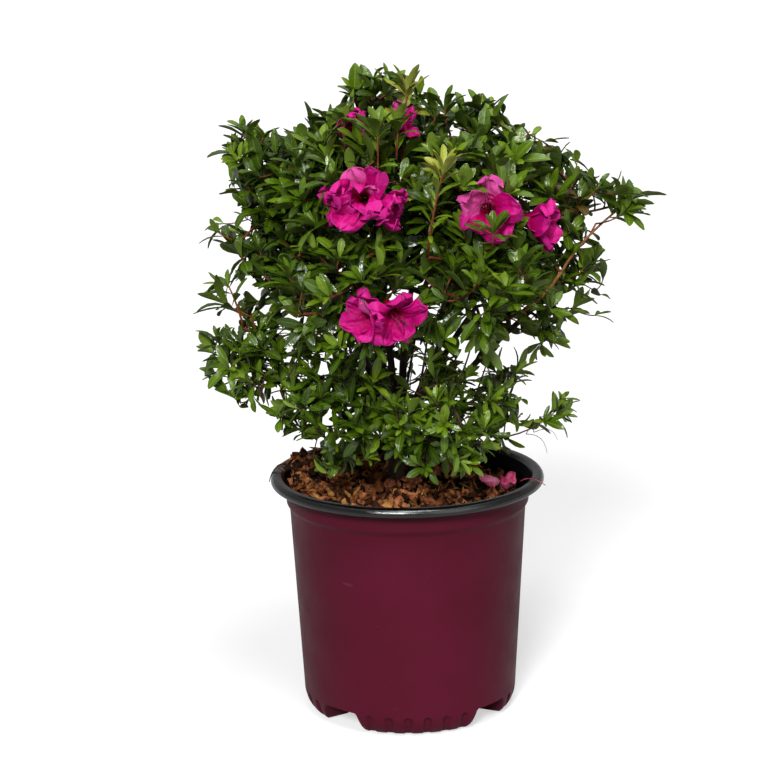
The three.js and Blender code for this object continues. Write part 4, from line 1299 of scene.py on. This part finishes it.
def petal_grid(bloom, turn, inner, rng):
    """One petal as a grid. A point is mouth + axis h + radial r + across s + normal n, where the
    middle line leaves the throat at a small angle, opens by an ease to the petal's tilt and bends on
    at its tip, s and n follow an arc whose curve flattens from the throat's own, and the ruffles are
    sine waves that grow towards the edge."""
    size, opening = bloom.size, bloom.opening
    axis, side, top = bloom_axes(bloom)
    u = np.linspace(0, 1, PETAL_ROWS)[:, None]
    v = np.linspace(-1, 1, PETAL_COLUMNS)[None]
    radial = top * math.cos(turn) + side * math.sin(turn)
    across = np.cross(radial, axis)
    longer, wider, tilted = INNER_PETAL if inner else (1, 1, 1)
    length = (THROAT_LENGTH + PETAL_LENGTH * longer) * size * rng.uniform(0.92, 1.1)
    half_width = PETAL_WIDTH / 2 * size * rng.uniform(0.9, 1.15) * wider
    tilt = (opening + rng.normal(0, TILT_SPREAD)) * tilted
    fine = np.linspace(0, 1, 200)
    angle = THROAT_ANGLE + (tilt - THROAT_ANGLE) * ease(0.3, 0.7, fine)
    angle = angle + rng.uniform(-0.6, 0.7) * ease(0.65, 1.0, fine)
    radius, height = (
        np.concatenate([[0], np.cumsum(part(angle[:-1]))]) * length / 199 for part in (np.sin, np.cos)
    )
    radius, height = THROAT_FOOT_RADIUS + radius, height - THROAT_LENGTH * size
    radius, height, angle = (np.interp(u[:, 0], fine, line)[:, None] for line in (radius, height, angle))
    rounded = np.sqrt(np.clip(1 - (np.maximum(u - 0.74, 0) / 0.264) ** 2, 0, 1))
    throat = THROAT_COVER * radius
    half = (throat + (half_width - throat) * ease(0.34, 0.7, u)) * rounded
    bend = rng.uniform(-0.012, 0.05)
    curve = 1 / radius + (bend - 1 / radius) * ease(0.3, 0.6, u)
    phases = rng.uniform(0, FULL_TURN, 5)
    edge = np.abs(v) ** 1.6
    ruffle = ease(0.42, 0.95, u) * size * min(1, 0.25 + 0.85 * opening) * (
        4.0 * edge * np.sin(12 * u + 5 * np.sign(v) + phases[0])
        + 1.7 * edge * np.sin(25 * u + 3 * v + phases[1]) + 2.2 * np.sin(4.5 * v + 4 * u + phases[2])
        + 3.0 * ease(0.72, 1, u) * np.sin(6.5 * v + phases[3]) + 0.6 * np.sin(17 * v + 6 * u + phases[4])
    )
    groove = -0.9 * np.exp(-(v / 0.14) ** 2) * ease(0.35, 0.55, u) * (1 - ease(0.85, 1, u))
    arc = v * half * curve
    inward = (1 - np.cos(arc)) / curve + ruffle + groove
    sideways = np.sin(arc) / curve
    normal = axis * np.sin(angle)[..., None] - radial * np.cos(angle)[..., None]
    lean = rng.normal(0, 0.14) * (height + THROAT_LENGTH * size) * ease(0.5, 1, u)
    return (bloom.mouth + axis * height[..., None] + radial * radius[..., None]
            + across * (sideways + lean)[..., None] + normal * inward[..., None])


def petal_slots(upper, pale, rng):
    """Each face's colour band: throat, inner, two of the limb, and the paler edge, darker towards the
    throat as partly the petal's own deeper colour and partly painted shade in the tube, and lighter
    outwards as partly a painted highlight. An upper petal has dark specks scattered over the foot of
    its limb, and a pale one takes the pale tone farther out, painted light from above."""
    u = (np.arange(PETAL_ROWS - 1) + 0.5)[:, None] / (PETAL_ROWS - 1)
    v = np.abs((np.arange(PETAL_COLUMNS - 1) + 0.5) / (PETAL_COLUMNS - 1) * 2 - 1)[None]
    bands = np.searchsorted(PETAL_BANDS, u + 0 * v + rng.uniform(-0.02, 0.02, (1, PETAL_COLUMNS - 1)))
    specks = (u > 0.34) & (u < 0.64) & (v < 0.55) & (rng.random(bands.shape) < SPOT_SHARE) & upper
    if pale:
        bands = np.where(bands >= 2, 5, bands + 1)
    bands = np.where(specks, 0, bands)
    band = np.full(2 * (PETAL_ROWS + PETAL_COLUMNS - 2), len(PETAL_BANDS) + pale)
    return np.concatenate([bands.ravel(), np.where(specks, 2, bands).ravel(), band])


def build_petals(rng):
    """All blooms as one piece: five petals a fifth of a turn apart, and the inner ones a golden
    angle apart."""
    grids, slots = [], []
    for bloom in BLOOMS:
        first = rng.normal(0, 0.3)
        for petal in range(PETALS + bloom.inner):
            inner = petal >= PETALS
            turn = first + petal * (GOLDEN_ANGLE if inner else FULL_TURN / PETALS)
            grids.append(petal_grid(bloom, turn, inner, rng))
            # The first petals from the top, as many as bloom.pale, and the first inner one take the pale
            # tone: painted light from above.
            slots.append(petal_slots(petal == 0, petal < bloom.pale or petal == PETALS, rng))
    points, faces, hard = shells(np.array(grids), PETAL_THICK)
    materials = [petal_finish(f"petal_{name}", base) for name, base in PETAL_TONES]
    make_piece("blooms", points, faces, materials, "leaf", np.concatenate(slots), sharp=hard)


def build_stamens(rng):
    """Filaments that leave the throat's foot and curve up towards their ends, the pistil longest."""
    starts, controls, ends, anthered = [], [], [], []
    for bloom in BLOOMS:
        axis, side, top = bloom_axes(bloom)
        for count in range(1 if bloom.inner else FILAMENTS):
            turn = count * GOLDEN_ANGLE + rng.uniform(0, 1)
            spread = side * math.cos(turn) + top * math.sin(turn)
            reach = bloom.size * (FILAMENT_LENGTH if count else PISTIL_LENGTH) * rng.uniform(0.85, 1.1)
            foot = bloom.mouth - axis * THROAT_LENGTH * 0.7 * bloom.size
            starts.append(foot + spread * 1.2)
            controls.append(foot + axis * (reach * 0.7) + spread * 2 - top * 3)
            ends.append(foot + axis * (reach + 6) + spread * rng.uniform(2, 6) + top * rng.uniform(1, 6))
            anthered.append(count > 0)
    steps, sides = 8, 5
    radii = np.full((len(starts), steps + 1), FILAMENT_RADIUS)
    radii[:, -1] = np.where(anthered, ANTHER_RADIUS, 0.5)
    radii[:, -2] = np.where(anthered, ANTHER_RADIUS, FILAMENT_RADIUS)
    points, faces = tube_points(np.array(starts), np.array(controls), np.array(ends), radii, sides, steps)
    tips = np.concatenate([
        np.tile(np.repeat(np.arange(steps) >= steps - 1, sides), len(starts)),
        np.tile(np.repeat([False, True], sides), len(starts)),
    ])
    filament = Finish("filament_pink", 0.5, (0.42, 0.008, 0.09))
    filament.bump(filament.mottle(900)["Value"], 0.0001)
    anther = Finish("anther_dark", 0.6, (0.09, 0.015, 0.03))
    anther.bump(anther.mottle(1200)["Value"], 0.0002)
    make_piece("stamens", points, faces, [filament.material, anther.material], "leaf", tips.astype(int))


# The pot and its filling.

def soften(corners, reach):
    """A profile with each corner turned along a bezier that starts and ends the given way from it."""
    corners = np.array(corners, float)
    rows = [corners[:1]]
    for before, here, after in zip(corners, corners[1:], corners[2:]):
        to_before, to_after = before - here, after - here
        cut = min(reach, 0.45 * np.linalg.norm(to_before), 0.45 * np.linalg.norm(to_after))
        start, end = here + unit(to_before) * cut, here + unit(to_after) * cut
        rows.append(bezier(start, here, end, np.linspace(0, 1, 5)))
    rows.append(corners[-1:])
    return np.concatenate(rows)


def turn_from_notch(turns):
    """The turn from each column to the middle of the nearest notch."""
    return np.abs((turns[:, None] - NOTCH_TURNS + math.pi) % FULL_TURN - math.pi).min(axis=1)


def flute_mask(turns, heights):
    """1 inside the flutes of the foot and 0 outside, eased at their edges, and less near the sole.

    A flute is a band of even width that ends in a half circle above FLUTE_TOP. They stand evenly on
    both sides of the middle of each part of the foot between two notches."""
    quarter = (turns - POT_TURN + math.pi / 4) % (math.pi / 2) - math.pi / 4
    nearest = np.clip(np.round(quarter / FLUTE_SPACING - 0.5), -FLUTES_A_SIDE, FLUTES_A_SIDE - 1) + 0.5
    beside = np.abs(quarter - nearest * FLUTE_SPACING) * FLUTE_RADIUS
    above = np.maximum(heights - FLUTE_TOP, 0)
    inside = 1 - ease(FLUTE_HALF_WIDTH - FLUTE_EDGE, FLUTE_HALF_WIDTH, np.hypot(beside, above))
    return inside * (FLUTE_FADE + (1 - FLUTE_FADE) * ease(0, FLUTE_FADE_HEIGHT, heights))


# Moulded plastics: two close colours, the scuffs' colour, roughness from and to, and gloss.
PLASTICS = (
    ("maroon_plastic", (0.068, 0.003, 0.013), (0.082, 0.0042, 0.018), (0.12, 0.03, 0.045), 0.4, 0.5, 0.14),
    ("black_plastic", (0.0015, 0.0016, 0.0018), (0.003, 0.0035, 0.004), (0.02,) * 3, 0.07, 0.14, 0.7),
    ("inner_plastic", (0.001, 0.001, 0.0011), (0.0018, 0.0018, 0.002), (0.01,) * 3, 0.55, 0.65, 0.04),
)


def build_pot():
    """The pot's skin, from the middle of its floor up the inside, over the rim, down the outside and
    under the foot. In the foot each column runs down only to the notch's height there, on a quarter
    of an ellipse less the flutes. The outside and the sole are maroon, the rim is glossy black and
    the inside dull black."""
    turns = np.arange(POT_COLUMNS) * FULL_TURN / POT_COLUMNS
    inside = soften([
        (0, FLOOR_TOP), (WALL_FOOT_RADIUS - 6, FLOOR_TOP), (WALL_FOOT_RADIUS - WALL_THICK, WALL_FOOT + 7),
        (WALL_TOP_RADIUS - WALL_THICK, WALL_TOP), (COLLAR_RADIUS - WALL_THICK, RIM_BASE), *RIM_SECTION,
    ], 2.0)
    wall_top, wall_foot = (WALL_TOP_RADIUS, WALL_TOP), (WALL_FOOT_RADIUS, WALL_FOOT)
    outside = soften([
        RIM_SECTION[-1], (COLLAR_RADIUS, RIM_BASE - 1.2), (COLLAR_RADIUS - 0.5, RIM_BASE - 2),
        (COLLAR_RADIUS, COLLAR_FOOT), wall_top, *np.linspace(wall_top, wall_foot, 10)[1:-1], wall_foot,
    ], 1.2)[1:]
    radii, heights = spun(np.concatenate([inside, outside]), POT_COLUMNS)
    notch_turns = turn_from_notch(turns)
    notch = np.interp(notch_turns * NOTCH_RADIUS, *NOTCH_EDGE)
    down = np.linspace(0, 1, 18)[1:, None]
    foot_heights = WALL_FOOT - down * (WALL_FOOT - notch)
    arc = np.sqrt(1 - (1 - foot_heights / WALL_FOOT) ** 2)
    foot_radii = FOOT_RADIUS + (WALL_FOOT_RADIUS - FOOT_RADIUS) * arc
    foot_radii = foot_radii - FLUTE_DEPTH * flute_mask(turns[None], foot_heights)
    across = np.linspace(0, 1, 12)[1:, None]
    sole_radii = foot_radii[-1] + across * (FOOT_INNER_RADIUS - 2 - foot_radii[-1])
    sole_heights = np.broadcast_to(notch, sole_radii.shape).copy()
    ahead, beside = sole_radii * np.cos(notch_turns), sole_radii * np.sin(notch_turns)
    sole_heights[np.hypot(ahead - DRAIN_PLACE, beside) < DRAIN_RADIUS] = FLOOR_TOP - 0.6
    under_radii, under_heights = spun([
        (FOOT_INNER_RADIUS - 2.5, FOOT_RECESS), (40, FOOT_RECESS), (PAD_RADIUS + 2, FOOT_RECESS),
        (PAD_RADIUS, 0.4), (PAD_RADIUS - 1, 0), (0, 0),
    ], POT_COLUMNS)
    radii = np.concatenate([radii, foot_radii, sole_radii, under_radii])
    heights = np.concatenate([heights, foot_heights, sole_heights, under_heights])
    points, faces = turned(radii, heights, turns)
    row = np.arange(len(faces[0]) // POT_COLUMNS)
    rim_row = np.argmax(inside[:, 1] > RIM_SECTION[0][1] - 1) - 1
    wall_slots = np.where(row < rim_row, 2, np.where(row < len(inside) - 2, 1, 0))
    slots = np.concatenate([np.repeat(wall_slots, POT_COLUMNS), np.repeat([2, 0], POT_COLUMNS)])
    materials = [pot_finish(*plastic) for plastic in PLASTICS]
    piece = make_piece("nursery_pot", points, faces, materials, "pot_plastic", slots)
    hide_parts("pot")


def mix_height(x, y):
    """Edge height + mound (1 - (r/R)^2) - fall x + a heap that fades as a bell curve."""
    (heap_x, heap_y), width, rise = MIX_HEAP
    away = np.hypot(x, y) / (WALL_TOP_RADIUS - WALL_THICK)
    heap = rise * np.exp(-((x - heap_x) ** 2 + (y - heap_y) ** 2) / (2 * width ** 2))
    return MIX_EDGE + MIX_MOUND * (1 - away ** 2) - MIX_FALL * x + heap


def build_mix():
    """The mix's body: a mound of noise inside the pot, closed down its side and under its foot."""
    columns = 120
    turns = np.arange(columns) * FULL_TURN / columns
    top = np.linspace(0, MIX_RADIUS, 44)[:, None] * np.ones(columns)
    place = np.stack([top * np.cos(turns), top * np.sin(turns), np.zeros_like(top)], -1)
    rough = 1.6 * noise(place, 7, 1) + 1.2 * noise(place, 3, 2) - 2.5
    heights = mix_height(place[..., 0], place[..., 1]) + rough
    foot = WALL_FOOT_RADIUS - WALL_THICK - GAP
    bottom = FLOOR_TOP + GAP
    lower_radii, lower_heights = spun(
        [(MIX_RADIUS, 150), (foot, WALL_FOOT + 7), (foot - 4, bottom), (0, bottom)], columns)
    points, faces = turned(
        np.concatenate([top, lower_radii]), np.concatenate([heights, lower_heights]), turns)
    # The body's near-black browns are partly the soil's own dark colour and partly painted shade in the
    # gaps between the chips.
    body = chip_finish("mix_soil_and_gap_shade", (0.004, 0.0022, 0.0012), (0.020, 0.009, 0.004))
    piece = make_piece("mix_body", points, faces, [body], "potting_mix")
    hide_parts("potting_mix")


def lumps(places, sizes, rng):
    """Angular chips: for each, a globe of two rings and two poles with every point's distance from
    the middle drawn at random, flattened and turned."""
    rows, columns = 2, 5
    polar = (np.arange(rows) + 1) * math.pi / (rows + 1)
    turn = np.arange(columns) * FULL_TURN / columns
    globe = np.concatenate([
        [[0, 0, 1]],
        np.stack([np.sin(polar)[:, None] * np.cos(turn), np.sin(polar)[:, None] * np.sin(turn),
                  np.cos(polar)[:, None] * np.ones(columns)], -1).reshape(-1, 3),
        [[0, 0, -1]],
    ])
    count = len(places)
    points = globe * rng.uniform(0.62, 1.3, (count, len(globe), 1)) * sizes[:, None]
    axes = np.linalg.qr(rng.normal(size=(count, 3, 3)))[0]
    axes = axes * np.sign(np.linalg.det(axes))[:, None, None]
    points = np.einsum("nij,nkj->nki", axes, points) + places[:, None]
    return points.reshape(-1, 3), repeated(ring_faces(rows, columns), count, len(globe))


def on_mix(count, rng, inset):
    """Places spread evenly over the mix: radius R sqrt(draw), and a drawn turn."""
    radius = (MIX_RADIUS - inset) * np.sqrt(rng.random(count))
    turn = rng.uniform(0, FULL_TURN, count)
    x, y = radius * np.cos(turn), radius * np.sin(turn)
    return np.stack([x, y, mix_height(x, y)], -1)


CHIP_TONES = {
    "bark_chip_red": ((0.080, 0.022, 0.007), (0.480, 0.170, 0.070)),
    "bark_chip_dark": ((0.006, 0.002, 0.001), (0.045, 0.016, 0.005)),
    "bark_chip_brown": ((0.026, 0.008, 0.002), (0.240, 0.078, 0.022)),
    "bark_chip_ochre": ((0.240, 0.090, 0.018), (0.560, 0.270, 0.080)),
}


def on_heap(count, rng):
    """Points in the heap of chips that stands against the rim, some of them on the rim itself."""
    turn = rng.normal(HEAP_TURN, HEAP_SPREAD, count)
    away = rng.uniform(*HEAP_REACH, count)
    bell = np.exp(-((turn - HEAP_TURN) / HEAP_WIDTH) ** 2)
    height = HEAP_FOOT + HEAP_RISE * bell * rng.uniform(0.3, 1.0, count)
    height = np.where(away > HEAP_RIM_FROM, HEAP_ON_RIM, height)
    return np.stack([away * np.cos(turn), away * np.sin(turn), height], -1)


def build_chips():
    """Chips in four tones, over half of them large, a few of them splinters, and some on the heap."""
    rng = np.random.default_rng(11)
    for name, count in CHIP_COUNTS.items():
        large = rng.random(count) < 0.55
        size = np.where(large, rng.uniform(3.8, 6.4, count), rng.uniform(1.6, 3.4, count))
        shape = rng.uniform([0.9, 0.55, 0.3], [1.35, 0.95, 0.7], (count, 3)) * size[:, None]
        shape[rng.random(count) < (0.9 if name == "bark_chip_ochre" else 0.15)] *= [1.3, 0.6, 0.35]
        places = on_mix(count, rng, 3)
        places[:, 2] += rng.uniform(-2.5, 4.0, count)
        places[:HEAP_CHIPS] = on_heap(HEAP_CHIPS, rng)
        points, faces = lumps(places, shape, rng)
        finish = chip_finish(name, *CHIP_TONES[name])
        make_piece(name + "s", points, faces, [finish], "potting_mix", flat=True)


def build_litter():
    """Fibres and stalks that lie on the mix, and the root that hangs over the rim."""
    rng = np.random.default_rng(31)
    count = LITTER_COUNT
    middles = on_mix(count, rng, 14)
    turn = rng.uniform(0, FULL_TURN, count)
    reach = rng.uniform(4, 13, count)
    way = np.stack([np.cos(turn), np.sin(turn), rng.normal(0, 0.18, count)], -1) * reach[:, None]
    lift = np.array([0, 0, 1.6]) + rng.normal(0, 1, (count, 3)) * [3, 3, 0.6]
    starts, controls, ends = (middles + part + [0, 0, 1] for part in (-way, lift, way))
    starts, controls, ends = (
        np.concatenate([part, root])
        for part, root in ((starts, ROOT_STARTS), (controls, ROOT_BENDS), (ends, ROOT_ENDS))
    )
    width = np.concatenate([rng.uniform(0.25, 0.7, count), [1.1, 0.8]])
    radii = width[:, None] * np.linspace(1, 0.5, 7)
    points, faces = tube_points(starts, controls, ends, radii, 4, 6)
    pale = np.concatenate([rng.random(count) < 0.4, [False, False]])
    slots = np.concatenate([np.repeat(pale, 6 * 4), np.repeat(pale, 2 * 4)])
    materials = [bark_finish(name) for name in ("litter_dark", "litter_pale")]
    make_piece("mix_litter", points, faces, materials, "potting_mix", slots.astype(int))


# Shed petals: the middle, the turn, the size and how crumpled; their tones; and the filament's path.
SHED_PETALS = (((61, -15, 174), 2.2, 12, 1.0), ((75, -15, 174), 0.3, 11, 2.2))
# The bright petal's two pinks are lifted above its own colour, painted light against the shade of the
# leaves over it, the lighter one a painted highlight; the dark petal keeps its own deeper colour.
SHED_TONES = (
    ("bright", (0.72, 0.05, 0.20), (0.95, 0.36, 0.52)), ("dark", (0.32, 0.006, 0.07), (0.68, 0.08, 0.22)),
)
SHED_FILAMENT = ((83, -17, 176), (90, -34, 187), (101, -39, 179.5))


def build_fallen_petals():
    """Two shed petals on the mix at the right, and a shed filament that lies over the rim."""
    rng = np.random.default_rng(5)
    u = np.linspace(0, 1, 13)[:, None]
    v = np.linspace(-1, 1, 11)[None]
    grids = []
    for (x, y, z), turn, size, crumple in SHED_PETALS:
        half = 0.62 * size * np.clip(1 - (2 * u - 1) ** 4, 0.02, 1) ** 0.6
        creases = np.sin(3 * u + 2 * v + rng.uniform(0, 6)) + np.sin(7 * u - 5 * v)
        cup = 2.6 * v * v + crumple * creases + 4.5 * u * u
        ahead, beside = (u - 0.5) * size, v * half
        grids.append(np.stack([
            x + ahead * math.cos(turn) - beside * math.sin(turn),
            y + ahead * math.sin(turn) + beside * math.cos(turn), z + cup + 0 * beside,
        ], -1))
    points, faces, hard = shells(np.array(grids), PETAL_THICK)
    materials = []
    for name, dark, light in SHED_TONES:
        petal = Finish(f"shed_petal_{name}", 0.6, Sheen_Weight=0.1)
        fill(petal.shader, Base_Color=petal.mottle(150, 3, 0.35, 0.65, dark, light)["Color"])
        petal.bump(petal.mottle(500)["Value"], 0.0003)
        materials.append(petal.material)
    slots = np.repeat([0, 1], len(faces[0]) // 2)
    make_piece("shed_petals", points, faces, materials, "leaf", slots, sharp=hard)
    path = [np.array([point], float) for point in SHED_FILAMENT]
    points, faces = tube_points(*path, np.full((1, 11), 0.35), 5, 10)
    thread = Finish("shed_filament", 0.6)
    pinks = thread.mottle(200, 2, 0.35, 0.65, (0.30, 0.03, 0.05), (0.55, 0.10, 0.14))
    fill(thread.shader, Base_Color=pinks["Color"])
    make_piece("shed_filament", points, faces, [thread.material], "leaf")


# The studio. The lamps have a name, a strength, an angle across and a turn about each axis.

FLOOR_REACH = 20000
FLOOR_HEIGHT = -0.5
OVERHEAD = (0.74, 0.94)
LAMPS = (
    ("key", 3.25, 14, (58, 0, -12)), ("top", 1.25, 20, (24, 0, 10)), ("fill", 0.7, 50, (64, 0, 38)),
)


def overhead_light(tree, low, high):
    """A grey that is low all round and rises to high straight above."""
    way = add_node(tree, "TexCoord").outputs["Generated"]
    height = add_node(tree, "SeparateXYZ", Vector=way).outputs["Z"]
    start, end = OVERHEAD
    span = add_node(tree, "MapRange", Value=height, From_Min=start, From_Max=end, To_Min=low, To_Max=high)
    return span.outputs["Result"]


def grey_by_ray(tree, thrown, mirrored, seen):
    """One grey for the light that a surface throws on, another where a shiny surface mirrors it,
    and a third where the camera sees it."""
    rays = add_node(tree, "LightPath").outputs
    grey = thrown
    for other, ray in ((mirrored, "Is Glossy Ray"), (seen, "Is Camera Ray")):
        grey = add_node(tree, "Mix", A=grey, B=other, Factor=rays[ray]).outputs["Result"]
    return grey


def build_studio():
    """A pale floor past the picture's edge, an even pale sky and soft lamps, and the camera."""
    corners = np.array([(x * FLOOR_REACH, y * FLOOR_REACH, FLOOR_HEIGHT)
                        for x, y in ((-1, -1), (1, -1), (1, 1), (-1, 1))], float)
    finish = Finish("studio_floor", 0.9, Emission_Strength=1)
    fill(finish.shader, Base_Color=grey_by_ray(finish.tree, 0.22, 0.5, 0.5),
         Emission_Color=grey_by_ray(finish.tree, 0, 0, 0.55))
    floor = make_piece("studio_floor", corners, [np.array([[0, 1, 2, 3]])], [finish.material])
    world = bpy.data.worlds.new("studio_sky")
    world.use_nodes = True
    tree = world.node_tree
    mirrored = overhead_light(tree, 0.28, 1.7)
    fill(tree.nodes["Background"], Color=grey_by_ray(tree, 0.14, mirrored, 1.0))
    bpy.context.scene.world = world
    for name, strength, angle, ways in LAMPS:
        lamp = bpy.data.lights.new(name, "SUN")
        lamp.energy = strength
        lamp.angle = math.radians(angle)
        holder = bpy.data.objects.new(name, lamp)
        holder.rotation_euler = [math.radians(way) for way in ways]
        bpy.context.scene.collection.objects.link(holder)
    camera = bpy.data.objects.new("camera", bpy.data.cameras.new("camera"))
    camera.data.lens = CAMERA_LENS
    camera.data.sensor_width = CAMERA_SENSOR
    camera.data.clip_end = CAMERA_SIGHT
    right, above = np.array([1.0, 0, 0]), np.array([0, math.sin(CAMERA_RISE), math.cos(CAMERA_RISE)])
    rolled_right = right * math.cos(CAMERA_ROLL) + above * math.sin(CAMERA_ROLL)
    rolled_above = above * math.cos(CAMERA_ROLL) - right * math.sin(CAMERA_ROLL)
    columns = np.stack([rolled_right, rolled_above, -CAMERA_AHEAD, CAMERA_EYE * MM], -1)
    camera.matrix_world = Matrix([*columns.tolist(), [0, 0, 0, 1]])
    bpy.context.scene.collection.objects.link(camera)
    bpy.context.scene.camera = camera
    bpy.context.scene.view_settings.view_transform = "Standard"


limbs = make_limbs()
twigs, stems = [], []
for number in range(len(MASSES)):
    grown, stem = grow_twigs(number, limbs[number + 1], limbs)
    twigs += grown
    stems.append(stem)
joints = np.concatenate([bezier(*twig["path"], FINE_JOINT_SHARES) for twig in twigs])
twigs += SET_ONES + [link_to(joints, set_one) for set_one in SET_ONES]
build_studio()
build_pot()
build_mix()
build_chips()
build_litter()
build_fallen_petals()
build_limbs(limbs)
leaves = leaves_that_fit(leaves_of(twigs, np.random.default_rng(71)), limbs)
bears = bearing_twigs(twigs, leaves)
build_twigs([twig for twig, bearing in zip(twigs, bears) if bearing], stems)
build_leaves(some_of(leaves, bears[leaves["twig"]]), [f"foliage_{name}" for name in MASS_NAMES])
petal_rng = np.random.default_rng(23)
build_petals(petal_rng)
build_stamens(petal_rng)
